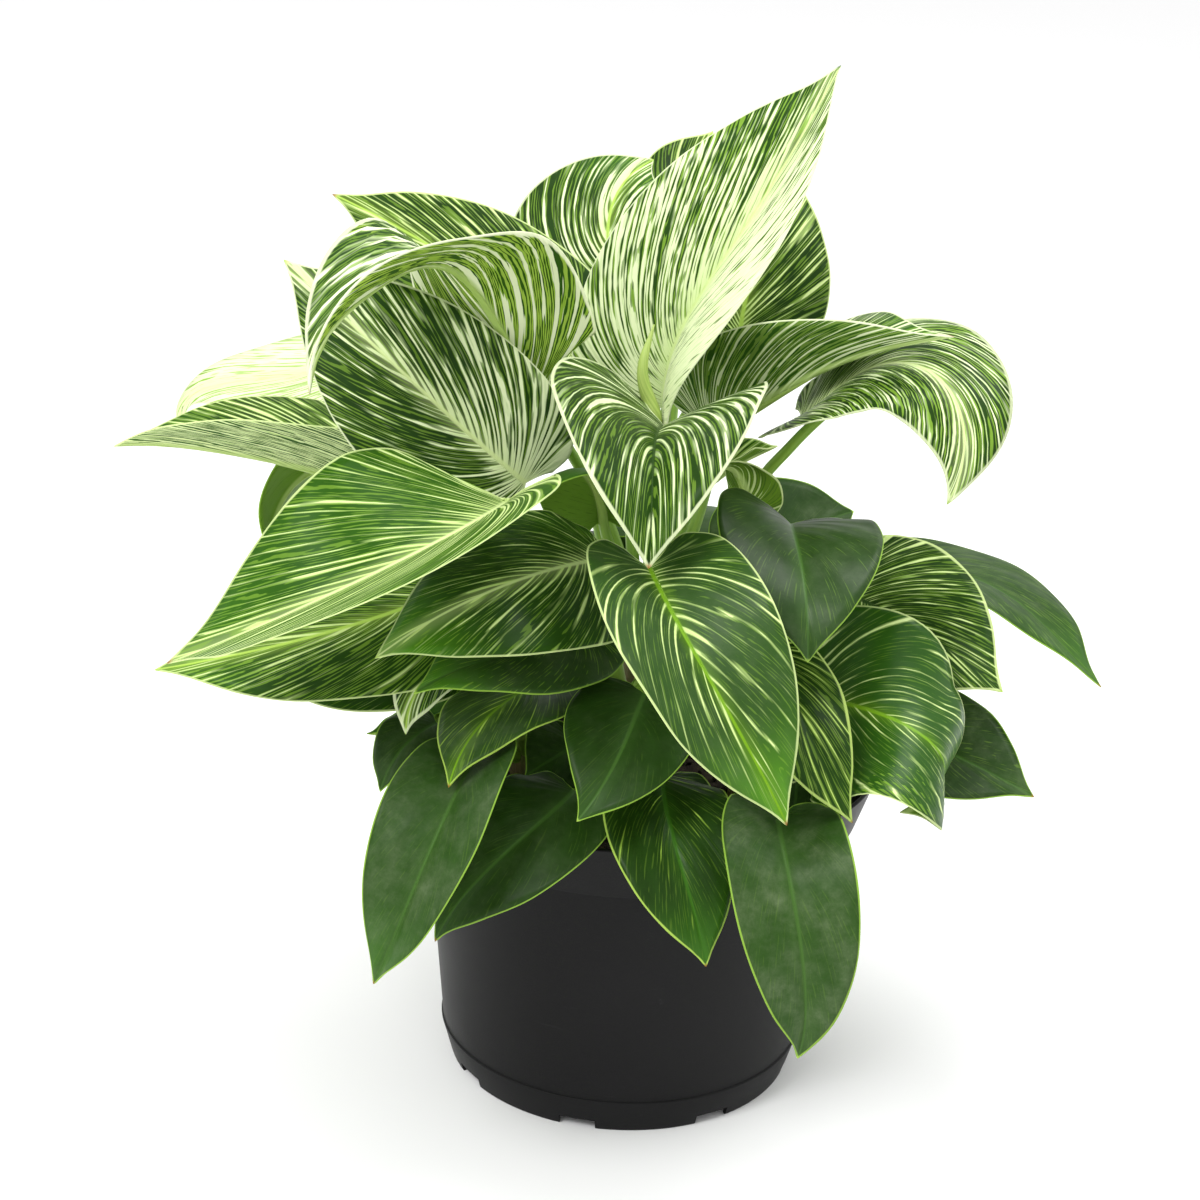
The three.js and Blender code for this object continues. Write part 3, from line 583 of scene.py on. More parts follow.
def tube(shape, path, radii, sides, slot=0):
    """A tube along a path, with closed ends."""
    path = np.asarray(path, float)
    count = len(path)
    radii = np.broadcast_to(np.asarray(radii, float), (count,))
    along = unit(np.gradient(path, axis=0))
    up = np.array([1.0, 0, 0]) if abs(along[0][0]) < 0.9 else np.array([0, 1.0, 0])
    normals = []
    for direction in along:
        up = up - direction * up.dot(direction)
        up = up / np.linalg.norm(up)
        normals.append(up)
    normals = np.array(normals)
    sides_of = np.cross(along, normals)
    ring = np.stack([normals * east + sides_of * north for east, north in around(sides)], 1)
    grid = path[:, None] + ring * radii[:, None, None]
    faces = []
    for row in range(count - 1):
        for side in range(sides):
            a, b = row * sides + side, row * sides + (side + 1) % sides
            faces.append((a, b, b + sides, a + sides))
    faces.append(tuple(range(sides))[::-1])
    faces.append(tuple(range((count - 1) * sides, count * sides)))
    share = np.repeat(np.linspace(0, 1, count), sides)
    angle = np.tile(np.arange(sides) / sides, count)
    shape.add(grid.reshape(-1, 3), faces, slot, along=share, round=angle)


# ---------------------------------------------------------------- leaves

BLADE_ROWS = 72
BLADE_COLUMNS = 15
COLUMN_SPREAD = 1.35
MARK_COLUMN = 8
LEAF_THICKNESS = 0.5
MARGIN_THICKNESS = 0.3
MIDRIB_DEPTH = 1.0
MIDRIB_GROOVE = 0.22
PETIOLE_RINGS = 30
PETIOLE_SKIN = 0.3
PETIOLE_SIDES = 12
RIB_TURN = 0.3
WAVE_HEIGHT = 0.55
WAVE_TURNS = (13, 29)
SECOND_WAVE = 0.6
QUILT_HEIGHT = 0.06
QUILT_TURNS = 11
GROOVE_WIDTH = 1.3
KEEL_WIDTH = 1.2
KEEL_REACH = 0.42
KEEL_RINGS = 14
KEEL_TIP = 0.5
SHEATH_THICKNESS = 1.5
SHEATH_LENGTH = 16
# How far the ribs sweep along the blade, and how much they bow away from the midrib.
VEINS = (1.3, 0.7)


def blade_grid(sweep, bow, lobes):
    """Shares along and across, rib number and outwardness of every point of a blade."""
    places = np.linspace(0, 1, BLADE_ROWS + 1)[:-1]
    table = smooth_table(RIBS, places)
    table[:, 0] = np.maximum(table[:, 0], 0) ** sweep
    columns = np.linspace(-1, 1, 2 * BLADE_COLUMNS + 1)
    out = np.abs(columns) ** COLUMN_SPREAD
    start, end, reach, lobe = (table[:, index][:, None] for index in range(4))
    end = end - lobe * lobes
    share = start + (end - start) * out * (1 - bow * RIB_SWEEP * (1 - out))
    across = reach * (out + bow * RIB_TURN * out * (1 - out)) * np.sign(columns)
    rib = np.broadcast_to(places[:, None], share.shape)
    outward = np.broadcast_to(out * np.sign(columns), share.shape)
    return share, across, rib, outward


def vein_marks(share, across, length, half_width):
    """How far each point is from the first rib and along its own rib, on the flat leaf, in mm."""
    flat = np.stack([share * length, across * half_width], -1)
    step = np.linalg.norm(np.diff(flat, axis=1), axis=-1)
    side = flat.shape[1] // 2
    run = np.zeros(share.shape)
    run[:, side + 1 :] = np.cumsum(step[:, side:], axis=1)
    run[:, :side] = np.cumsum(step[:, :side][:, ::-1], axis=1)[:, ::-1]
    inner, outer = flat[:, side + MARK_COLUMN], flat[:, side + MARK_COLUMN + 2]
    heading = unit(outer - inner)
    shift = np.diff((inner + outer) / 2, axis=0)
    gap = np.abs(shift[:, 0] * heading[1:, 1] - shift[:, 1] * heading[1:, 0])
    rib = np.concatenate([[0], np.cumsum(gap)])
    return np.broadcast_to(rib[:, None], share.shape), run


def blade_faces():
    columns = 2 * BLADE_COLUMNS + 1
    faces = []
    for row in range(BLADE_ROWS - 1):
        for column in range(columns - 1):
            a = row * columns + column
            faces.append((a, a + 1, a + columns + 1, a + columns))
    tip = BLADE_ROWS * columns
    for column in range(columns - 1):
        a = (BLADE_ROWS - 1) * columns + column
        faces.append((a, a + 1, tip))
    ring = list(range(columns))
    ring += [row * columns + columns - 1 for row in range(1, BLADE_ROWS)]
    ring += [tip]
    ring += [row * columns for row in range(BLADE_ROWS - 1, 0, -1)]
    return faces, ring


FACES, RING = blade_faces()


def margin_distance(share, across, length, half_width):
    """How far each point is from the blade's margin, measured on the flat leaf, in millimetres."""
    flat = np.stack([share * length, across * half_width], -1)
    outline = flat[RING]
    ahead = np.roll(outline, -1, axis=0)
    span = ahead - outline
    part = np.einsum("pri,ri->pr", flat[:, None] - outline[None], span)
    part = np.clip(part / np.maximum(np.sum(span**2, -1), 1e-9), 0, 1)
    nearest = outline[None] + part[..., None] * span[None]
    return np.min(np.linalg.norm(flat[:, None] - nearest, axis=-1), axis=1)


def point_normals(points):
    normals = np.zeros_like(points)
    for corners in (3, 4):
        faces = np.array([face for face in FACES if len(face) == corners])
        a, b = points[faces[:, 1]] - points[faces[:, 0]], points[faces[:, 2]] - points[faces[:, 0]]
        face_normals = np.cross(a, b)
        for corner in range(corners):
            np.add.at(normals, faces[:, corner], face_normals)
    return unit(normals)


def leaf_shape(name, leaf):
    rng = np.random.default_rng(sum(map(ord, name)))
    midrib = Midrib(leaf["midrib"])
    half_width = leaf["width"] / 2
    grid = blade_grid(*leaf.get("veins", VEINS), leaf.get("lobes", 0))
    far, run = vein_marks(grid[0], grid[1], midrib.length, half_width)
    share, across, rib, outward, far, run = (grid.reshape(-1) for grid in (*grid, far, run))
    share, across = np.append(share, 1.0), np.append(across, 0.0)
    rib, outward = np.append(rib, 1.0), np.append(outward, 0.0)
    far, run = np.append(far, far[-1]), np.append(run, 0.0)
    upper = blade_points(leaf, midrib, share, across)
    normals = point_normals(upper)
    edge = margin_distance(share, across, midrib.length, half_width)
    middle = np.abs(across) * half_width
    fade = np.clip(1 - share, 0, 1)

    # Slow waves along the margin, a shallow quilting between the ribs and a groove on the midrib.
    phase = rng.uniform(0, 2 * math.pi, 4)
    sign = np.where(outward < 0, 0, 1)
    wave = np.sin(rib * WAVE_TURNS[0] + phase[sign])
    wave = wave + SECOND_WAVE * np.sin(rib * WAVE_TURNS[1] + phase[sign + 2])
    wave = wave * WAVE_HEIGHT * np.abs(outward) ** 2.5
    wave = wave * np.clip(rib * 6, 0, 1) * np.clip(4 - 4 * rib, 0, 1)
    quilt = QUILT_HEIGHT * np.sin(rib * 2 * math.pi * QUILT_TURNS)
    quilt = quilt * np.sin(np.clip(np.abs(outward), 0, 1) * math.pi)
    groove = -MIDRIB_GROOVE * np.exp(-((middle / GROOVE_WIDTH) ** 2)) * (0.3 + 0.7 * fade)
    upper = upper + normals * (wave + quilt + groove)[:, None]
    thin = MARGIN_THICKNESS + (LEAF_THICKNESS - MARGIN_THICKNESS) * np.clip(edge / 2, 0, 1)
    raised = MIDRIB_DEPTH * np.exp(-((middle / KEEL_WIDTH) ** 2)) * fade**0.8
    normals = point_normals(upper)
    lower = upper - normals * (thin + raised)[:, None]

    shape = Shape()
    common = dict(rib=far, run=run, out=outward, edge=edge, middle=middle, share=share)
    half = np.where(outward < 0, -1.0, 1.0)
    upper_start = shape.add(upper, FACES, 0, under=0.0, half=half, **common)
    lower_faces = [face[::-1] for face in FACES]
    lower_start = shape.add(lower, lower_faces, 0, under=1.0, half=half, **common)
    rim = []
    for index, start in enumerate(RING):
        end = RING[(index + 1) % len(RING)]
        rim.append((start + upper_start, start + lower_start, end + lower_start, end + upper_start))
    shape.faces.extend(rim)
    shape.slots.extend([0] * len(rim))
    shape.flat.extend([True] * len(rim))

    # The petiole runs on under the blade as the midrib's keel.
    path = petiole_points(leaf, midrib)
    run = np.linspace(0, np.linalg.norm(np.diff(path, axis=0), axis=1).sum(), len(path))
    radii = np.linspace(PETIOLE_FOOT, PETIOLE_TOP, len(path))
    sheath = SHEATH_THICKNESS * np.exp(-((run / SHEATH_LENGTH) ** 2))
    keel_from = leaf.get("meets", PETIOLE_MEETS_BLADE)
    keel_shares = np.linspace(keel_from, min(keel_from + KEEL_REACH, 0.9), KEEL_RINGS)[1:]
    point, _, normal = blade_frame(leaf, midrib, keel_shares)
    keel_radii = np.linspace(PETIOLE_TOP, KEEL_TIP, KEEL_RINGS)[1:]
    keel = point - normal * (keel_radii + PETIOLE_SKIN)[:, None]
    tube(
        shape, np.concatenate([path, keel]), np.concatenate([radii + sheath, keel_radii]),
        PETIOLE_SIDES, slot=1,
    )
    return shape


# ---------------------------------------------------------------- material helpers


class Graph:
    """Short names for building a material's nodes."""

    def __init__(self, name):
        self.material = bpy.data.materials.new(name)
        self.material.use_nodes = True
        self.tree = self.material.node_tree
        self.shader = self.tree.nodes["Principled BSDF"]

    def put(self, socket, value):
        if isinstance(value, bpy.types.NodeSocket):
            self.tree.links.new(value, socket)
        else:
            socket.default_value = value

    def set(self, **values):
        """Values of the Principled shader, by socket name with _ for a space."""
        for label, value in values.items():
            if label == "Base_Color" and not isinstance(value, bpy.types.NodeSocket):
                value = (*value, 1.0)
            self.put(self.shader.inputs[label.replace("_", " ")], value)

    def math(self, operation, *values):
        node = self.tree.nodes.new("ShaderNodeMath")
        node.operation = operation
        for socket, value in zip(node.inputs, values):
            self.put(socket, value)
        return node.outputs[0]

    def add(self, a, b):
        return self.math("ADD", a, b)

    def mul(self, a, b):
        return self.math("MULTIPLY", a, b)

    def sub(self, a, b):
        return self.math("SUBTRACT", a, b)

    def ramp(self, value, low, high, to_low=0.0, to_high=1.0, smooth=True):
        node = self.tree.nodes.new("ShaderNodeMapRange")
        node.interpolation_type = "SMOOTHSTEP" if smooth else "LINEAR"
        for label, entry in zip(
            ("Value", "From Min", "From Max", "To Min", "To Max"), (value, low, high, to_low, to_high)
        ):
            self.put(node.inputs[label], entry)
        return node.outputs["Result"]

    def mix(self, factor, a, b, mode="MIX"):
        node = self.tree.nodes.new("ShaderNodeMix")
        node.data_type = "RGBA"
        node.blend_type = mode
        self.put(node.inputs["Factor"], factor)
        for label, value in (("A", a), ("B", b)):
            socket = [s for s in node.inputs if s.name == label and s.type == "RGBA"][0]
            if not isinstance(value, bpy.types.NodeSocket):
                value = (*value, 1.0)
            self.put(socket, value)
        return [s for s in node.outputs if s.type == "RGBA"][0]

    def attribute(self, name):
        node = self.tree.nodes.new("ShaderNodeAttribute")
        node.attribute_name = name
        return node.outputs["Fac"]

    def vector(self, x=0.0, y=0.0, z=0.0):
        node = self.tree.nodes.new("ShaderNodeCombineXYZ")
        for socket, value in zip(node.inputs, (x, y, z)):
            self.put(socket, value)
        return node.outputs[0]

    def place(self):
        return self.tree.nodes.new("ShaderNodeTexCoord").outputs["Object"]

    def noise(self, vector, scale=1.0, detail=2.0, roughness=0.5):
        node = self.tree.nodes.new("ShaderNodeTexNoise")
        self.put(node.inputs["Vector"], vector)
        for label, value in (("Scale", scale), ("Detail", detail), ("Roughness", roughness)):
            self.put(node.inputs[label], value)
        return node.outputs["Fac"]

    def spread(self, vector, scale=1.0, detail=2.0, roughness=0.5):
        """Noise stretched to fill 0 to 1."""
        return self.ramp(self.noise(vector, scale, detail, roughness), 0.28, 0.72, smooth=False)

    def fibres(self, around, lengthwise, layer, detail):
        """Streaks on a tube: how many around it and along it."""
        turn = self.mul(self.attribute("round"), around)
        run = self.mul(self.attribute("along"), lengthwise)
        return self.spread(self.vector(turn, run, layer), detail=detail)

    def bump(self, height, distance, strength=1.0):
        node = self.tree.nodes.new("ShaderNodeBump")
        self.put(node.inputs["Height"], height)
        self.put(node.inputs["Distance"], distance)
        self.put(node.inputs["Strength"], strength)
        return node.outputs[0]


# ---------------------------------------------------------------- leaf looks

DEEP = (0.011, 0.034, 0.003)
DARK = (0.017, 0.052, 0.005)
LEATHER = (0.026, 0.070, 0.010)
MID = (0.036, 0.125, 0.008)
BRIGHT = (0.08, 0.25, 0.010)
HAZE = (0.17, 0.35, 0.012)
CREAM = (0.64, 0.76, 0.34)
WHITE = (0.78, 0.84, 0.56)
YELLOW = (0.42, 0.62, 0.10)
FLECK = (0.26, 0.46, 0.05)
UNDERSIDE = (0.17, 0.32, 0.03)
BROWN = (0.30, 0.10, 0.02)
# A grey-green for the leaves' patches, partly a dust bloom and partly painted sheen.
DUST_AND_SHEEN = (0.105, 0.150, 0.070)

# green, tip: the blade's colour at its base and at its tip; line: the stripes' colour.
# gap: from stripe to stripe, in millimetres; dash: how long an unbroken stretch of stripe is.
# level: from 0, all pale, to 1, all green; even: from 0, ragged, to 1, even stripes.
# flecks: how clear the fine dashes are; specks: the same on the underside; sparse: how rare they are.
# rib, base, end, rim: how much paler the blade is along the midrib, at its base, tip and margin.
# left, right: how much paler that half is; keel: the midrib's colour; spot: the very tip's.
# margin: the pale edge, in millimetres; below: the underside's colour; back: how strong it is.
# gloss, shine: roughness and specular level; relief: how raised the ribs are; grey_patches: dust bloom
# and painted sheen.
# slot: the name of a material slot for the leaf.
STRIPED = dict(
    green=DARK, tip=MID, line=CREAM, gap=2.1, level=0.80, dash=22.0, even=0.5, flecks=0.5,
    sparse=0.56, specks=0.5, rib=0.12, base=0.08, end=0.0, rim=-0.02, left=0.0, right=0.0,
    keel=YELLOW, margin=0.6, spot=YELLOW, gloss=0.38, shine=0.10, relief=0.3, back=0.75,
    below=UNDERSIDE, grey_patches=0.0, slot="leaf_striped",
)
FINE = dict(
    STRIPED, gap=2.0, level=0.90, dash=16.0, even=0.56, rib=0.14, base=0.02, end=-0.12, keel=HAZE,
    gloss=0.34, flecks=0.3, sparse=0.68,
)
PLAIN = dict(
    STRIPED, green=LEATHER, line=FLECK, gap=2.4, level=1.3, rib=0.0, base=0.0, rim=0.0,
    keel=(0.05, 0.12, 0.02), margin=0.4, gloss=0.42, shine=0.12, flecks=0.06, sparse=0.74,
    relief=0.05, grey_patches=0.55, slot="leaf_dark",
)
DEEP_STRIPED = dict(STRIPED, green=DEEP, tip=DARK)
SHADED = dict(PLAIN, green=DEEP, tip=DARK)
LOOKS = {
    "leaf_crown": dict(
        STRIPED, slot="leaf_cream", line=WHITE, gap=1.4, level=0.57, dash=8.0, even=0.34, rib=0.18,
        end=-0.32, rim=-0.03, right=0.16, keel=CREAM, margin=0.5, spot=MID, gloss=0.5, tip=DARK,
        flecks=0.6,
    ),
    "leaf_back_left": dict(
        STRIPED, green=DEEP, line=WHITE, gap=1.8, level=0.72, even=0.38, dash=12.0, flecks=0.4,
    ),
    "leaf_back_center": dict(DEEP_STRIPED, gap=2.2, flecks=0.35),
    "leaf_back_right": dict(DEEP_STRIPED, gap=1.9, level=0.78, flecks=0.35),
    "leaf_upper_left_rear": dict(
        DEEP_STRIPED, gap=1.7, level=0.79, spot=BROWN, dash=14.0, flecks=0.35,
    ),
    "leaf_upper_left_arching": dict(
        STRIPED, tip=DARK, line=(0.88, 0.92, 0.66), gap=4.2, level=0.68, back=0.9,
        below=(0.36, 0.54, 0.07), margin=1.2, spot=BROWN, gloss=0.45, keel=CREAM, even=0.40,
        dash=30.0, flecks=0.35, specks=1.0, sparse=0.48,
    ),
    "leaf_upper_left": dict(
        DEEP_STRIPED, line=WHITE, gap=2.2, level=0.79, rib=0.14, base=0.20, right=0.12, keel=CREAM,
        even=0.44, dash=12.0, flecks=0.35,
    ),
    "leaf_left": dict(
        STRIPED, green=DEEP, gap=1.8, level=0.74, dash=14.0, back=1.0, below=(0.60, 0.72, 0.34),
        flecks=0.3, specks=1.0, sparse=0.46,
    ),
    "leaf_left_rear": dict(
        STRIPED, slot="leaf_cream", green=(0.34, 0.50, 0.13), tip=HAZE, line=WHITE, gap=1.3,
        level=0.46, gloss=0.5, keel=CREAM, flecks=0.4, even=0.36, dash=9.0,
    ),
    "leaf_left_drooping": dict(PLAIN, green=MID),
    "leaf_middle_left": dict(
        STRIPED, green=(0.022, 0.080, 0.004), level=0.83, rib=0.14, base=0.06, even=0.60,
        spot=BROWN, margin=0.8, keel=CREAM, shine=0.07, flecks=0.35, dash=40.0, left=0.10,
    ),
    "leaf_middle_left_under": dict(STRIPED, level=0.84),
    "leaf_middle_left_lowest": dict(FINE, level=0.96),
    "leaf_center_left": dict(FINE, tip=BRIGHT, level=0.85, gap=2.4, keel=CREAM, flecks=0.35),
    "leaf_center_front": dict(
        FINE, green=(0.022, 0.060, 0.009), tip=BRIGHT, gap=3.3, level=0.87, margin=0.7, spot=BROWN,
        even=0.6, rib=0.12, end=-0.15, flecks=0.2, grey_patches=0.25,
    ),
    "leaf_shield_front": dict(
        DEEP_STRIPED, line=WHITE, gap=2.7, level=0.75, even=0.46, margin=1.2, dash=20.0,
        flecks=0.35, keel=DARK, rib=0.0, base=0.0, spot=(0.55, 0.25, 0.05),
    ),
    "leaf_upper_right": dict(
        STRIPED, green=DEEP, line=WHITE, gap=1.6, level=0.70, spot=BROWN, back=0.6,
        below=(0.24, 0.40, 0.07), dash=24.0, flecks=0.35, specks=1.0, sparse=0.50,
    ),
    "leaf_right_arching": dict(
        DEEP_STRIPED, line=WHITE, gap=1.3, level=0.72, margin=1.1, even=0.42, dash=14.0, flecks=0.6,
        keel=CREAM, rib=0.05,
    ),
    "leaf_small_curled": dict(DEEP_STRIPED, level=0.76, gap=1.8),
    "leaf_small_right": dict(STRIPED, slot="leaf_dark", gap=1.8),
    "leaf_shield_right": dict(SHADED, shine=0.2, gloss=0.38, grey_patches=0.3, flecks=0.15),
    "leaf_rear_right_round": dict(PLAIN, green=DARK, tip=DARK),
    "leaf_right_middle": dict(
        DEEP_STRIPED, gap=1.7, level=0.81, margin=1.0, dash=12.0, rib=0.02, flecks=0.3, keel=DARK,
    ),
    "leaf_far_right": dict(PLAIN, green=DARK, spot=BROWN, flecks=0.25, sparse=0.66, grey_patches=0.3),
    "leaf_right_recurved": dict(
        FINE, green=(0.020, 0.075, 0.005), shine=0.2, gap=3.0, level=0.89, dash=10.0, even=0.64,
        flecks=0.2, rib=0.04,
    ),
    "leaf_right_low": dict(SHADED, spot=BROWN, flecks=0.2),
    "leaf_center_right": dict(
        DEEP_STRIPED, line=(0.50, 0.66, 0.18), gap=1.8, level=0.84, margin=0.9, spot=BROWN,
        rib=0.02, keel=DARK, flecks=0.3,
    ),
    "leaf_low_front": dict(
        FINE, slot="leaf_dark", green=DEEP, line=YELLOW, level=0.96, gap=2.4, dash=10.0, spot=BROWN,
        keel=MID, rib=0.02, flecks=0.12,
    ),
    "leaf_low_front_right": dict(PLAIN, green=DARK, tip=DARK, margin=0.6, grey_patches=0.75),
    "leaf_low_left": dict(PLAIN, green=DARK, spot=BROWN, grey_patches=0.65),
    "leaf_low_left_inner": dict(SHADED, spot=BROWN, grey_patches=0.25),
    "leaf_low_center_left": dict(SHADED, grey_patches=0.15),
    "leaf_low_left_upper": dict(
        FINE, green=LEATHER, tip=DARK, line=YELLOW, gap=2.2, level=0.97, spot=BROWN, flecks=0.2,
        grey_patches=0.5,
    ),
    "leaf_low_left_bright": dict(PLAIN, slot="leaf_striped", tip=BRIGHT, flecks=0.5),
    "leaf_low_left_upright": dict(
        STRIPED, green=DEEP, tip=DEEP, line=WHITE, gap=1.6, level=0.78, margin=1.3,
    ),
    "leaf_small_left": dict(PLAIN, green=MID, tip=BRIGHT),
    "leaf_small_left_low": SHADED,
    "leaf_inner_arched": dict(PLAIN, green=MID),
    "leaf_inner_left": SHADED,
    "leaf_inner_right": SHADED,
}


def leaf_material(name, look):
    g = Graph(name)
    seed = sum(map(ord, name)) % 97 * 1.7
    rib, run = g.attribute("rib"), g.attribute("run")
    half, under = g.attribute("half"), g.attribute("under")
    edge, middle, share = g.attribute("edge"), g.attribute("middle"), g.attribute("share")
    out = g.math("ABSOLUTE", g.attribute("out"))
    z = g.add(g.mul(half, 3.0), seed)
    gap, dash = look["gap"], look["dash"]

    def streaks(wide, long, layer, detail):
        place = g.vector(g.mul(rib, 1 / wide), g.mul(run, 1 / long), g.add(z, layer))
        return g.spread(place, detail=detail, roughness=0.6)

    def ridges(wide, bend):
        place = g.math("FRACT", g.add(g.mul(rib, 1 / wide), g.mul(bend, gap / wide)))
        return g.sub(1.0, g.mul(g.math("ABSOLUTE", g.sub(place, 0.5)), 2.0))

    # Stripes along the ribs: an uneven ridge for each rib, worn by long and short streaks, with
    # finer dashes between them.
    bend = g.mul(g.sub(streaks(gap * 2.5, 60.0, 1.0, 1.0), 0.5), 1.2)
    ridge = ridges(gap, bend)
    worn = (1.1 - look["even"]) / 2
    long = g.mul(streaks(gap * 0.8, 80.0, 4.0, 1.0), worn)
    short = g.mul(streaks(1.1, dash, 8.0, 1.0), worn)
    value = g.add(g.mul(ridge, look["even"]), g.add(long, short))
    fleck = g.add(g.mul(ridges(0.9, bend), 0.55), g.mul(streaks(0.9, 7.0, 30.0, 1.0), 0.45))
    fleck = g.ramp(fleck, look["sparse"], look["sparse"] + 0.1)
    specks = g.mul(fleck, look["specks"])
    fleck = g.mul(fleck, look["flecks"])
    patch = streaks(25.0, 20.0, 20.0, 1.0)
    level = g.sub(look["level"], g.ramp(half, -1.0, 1.0, look["left"], look["right"], smooth=False))
    level = g.sub(level, g.ramp(middle, 0.0, 8.0, look["rib"], 0.0))
    level = g.sub(level, g.ramp(share, 0.0, 0.3, look["base"], 0.0))
    level = g.sub(level, g.ramp(share, 0.55, 1.0, 0.0, look["end"]))
    level = g.sub(level, g.ramp(out, 0.4, 1.0, 0.0, look["rim"]))
    level = g.add(level, g.mul(g.sub(patch, 0.5), 0.1))
    stripe = g.ramp(value, g.sub(level, 0.01), g.add(level, 0.035))
    fringe = g.ramp(value, g.sub(level, 0.16), level)

    # Green from base to tip, lighter along the middle and beside each stripe.
    mottle = streaks(6.0, 12.0, 40.0, 3.0)
    green = g.mix(g.ramp(share, 0.6, 1.0), look["green"], look["tip"])
    green = g.mix(g.mul(mottle, 0.3), green, g.mix(0.5, look["green"], MID))
    # Grey-green patches, partly a dust bloom and partly painted sheen standing in for the leaves' soft
    # grey sheen.
    cloud = g.spread(g.place(), scale=90.0, detail=6.0, roughness=0.7)
    green = g.mix(g.mul(g.mul(cloud, cloud), look["grey_patches"]), green, DUST_AND_SHEEN)
    green = g.mix(g.ramp(middle, 0.0, 5.0, 0.25, 0.0), green, look["keel"])
    green = g.mix(g.mul(fringe, 0.6), green, g.mix(0.5, look["line"], HAZE, mode="DARKEN"))
    green = g.mix(fleck, green, FLECK)
    line = g.mix(g.ramp(middle, 0.0, 10.0, 0.35, 0.12), look["line"], YELLOW)
    line = g.mix(g.mul(fleck, 0.4), line, HAZE)
    color = g.mix(stripe, green, line)
    keel_width = g.ramp(share, 0.0, 1.0, 0.9, 0.25, smooth=False)
    keel = g.ramp(middle, g.mul(keel_width, 0.4), g.mul(keel_width, 1.4), 0.9, 0.0)
    color = g.mix(keel, color, look["keel"])
    wander = g.ramp(streaks(12.0, 30.0, 50.0, 3.0), 0.0, 1.0, 0.6, 1.4, smooth=False)
    rim = g.mul(wander, look["margin"])
    border = g.mix(0.15, look["line"], YELLOW)
    color = g.mix(g.ramp(edge, g.mul(rim, 0.5), rim, 0.8, 0.0), color, border)
    color = g.mix(g.ramp(share, 0.975, 1.0), color, look["spot"])

    # The underside is paler and flatter.
    plain = g.mix(look["back"], look["green"], look["below"])
    backing = g.mix(specks, g.mix(g.mul(fringe, 0.5), plain, HAZE), g.mix(0.5, DARK, MID))
    backing = g.mix(g.mul(stripe, 0.95), backing, g.mix(0.1, look["line"], look["below"]))
    backing = g.mix(g.ramp(middle, 0.8, 2.2, 0.8, 0.0), backing, (0.42, 0.56, 0.18))
    backing = g.mix(g.ramp(edge, g.mul(rim, 0.5), rim, 0.9, 0.0), backing, look["line"])
    color = g.mix(under, color, backing)

    grain = g.noise(g.place(), scale=900.0, detail=2.0)
    height = g.add(g.mul(ridge, look["relief"]), g.add(g.mul(stripe, 0.2), g.mul(grain, 0.15)))
    gloss = g.ramp(under, 0.0, 1.0, look["gloss"], 0.6, smooth=False)
    g.set(
        Base_Color=color,
        Roughness=g.add(gloss, g.ramp(mottle, 0.0, 1.0, -0.05, 0.07, smooth=False)),
        Normal=g.bump(height, 0.0002, 0.7),
        Specular_IOR_Level=look["shine"],
    )
    return g.material


def petiole_material():
    g = Graph("petiole")
    place = g.place()
    streak = g.fibres(9.0, 2.0, 0.0, 3.0)
    along = g.attribute("along")
    color = g.mix(streak, (0.17, 0.34, 0.03), (0.33, 0.52, 0.08))
    color = g.mix(g.ramp(along, 0.0, 0.15, 0.6, 0.0), color, (0.20, 0.22, 0.06))
    color = g.mix(g.ramp(along, 0.55, 0.8, 0.0, 0.5), color, (0.48, 0.60, 0.18))
    g.set(Base_Color=color, Roughness=0.42, Normal=g.bump(g.noise(place, 700.0, 2.0), 0.0002, 0.5))
    return g.material


def stem_material():
    g = Graph("stem")
    rings = g.fibres(2.0, 22.0, 0.0, 4.0)
    fibre = g.fibres(30.0, 3.0, 2.0, 3.0)
    color = g.mix(rings, (0.10, 0.13, 0.03), (0.20, 0.17, 0.07))
    color = g.mix(g.mul(fibre, 0.5), color, (0.25, 0.15, 0.07))
    g.set(Base_Color=color, Roughness=0.7, Normal=g.bump(g.add(rings, fibre), 0.0006, 0.7))
    return g.material


def spike_material():
    g = Graph("new_leaf")
    along = g.attribute("along")
    seam = g.math("FRACT", g.add(g.attribute("round"), g.mul(along, 1.5)))
    edge = g.ramp(g.math("ABSOLUTE", g.sub(seam, 0.5)), 0.0, 0.06, 1.0, 0.0)
    streak = g.spread(g.vector(g.mul(seam, 20.0), g.mul(along, 3.0), 0.0), detail=2.0)
    color = g.mix(streak, (0.30, 0.45, 0.08), (0.55, 0.66, 0.20))
    color = g.mix(g.ramp(along, 0.45, 0.6, 1.0, 0.0), color, (0.20, 0.36, 0.06))
    color = g.mix(g.mul(edge, g.ramp(along, 0.6, 0.75, 0.0, 0.8)), color, (0.45, 0.22, 0.05))
    g.set(Base_Color=color, Roughness=0.4, Normal=g.bump(g.add(edge, g.mul(streak, 0.3)), 0.0005, 0.8))
    return g.material


def soil_material():
    g = Graph("soil")
    place = g.place()
    clod = g.spread(place, 220.0, 5.0, 0.65)
    fleck = g.ramp(g.noise(place, 520.0, 1.0), 0.68, 0.74)
    color = g.mix(clod, (0.008, 0.005, 0.003), (0.045, 0.028, 0.017))
    color = g.mix(fleck, color, (0.12, 0.08, 0.045))
    g.set(Base_Color=color, Roughness=0.95, Normal=g.bump(g.noise(place, 380.0, 6.0, 0.7), 0.0015, 1.0))
    return g.material


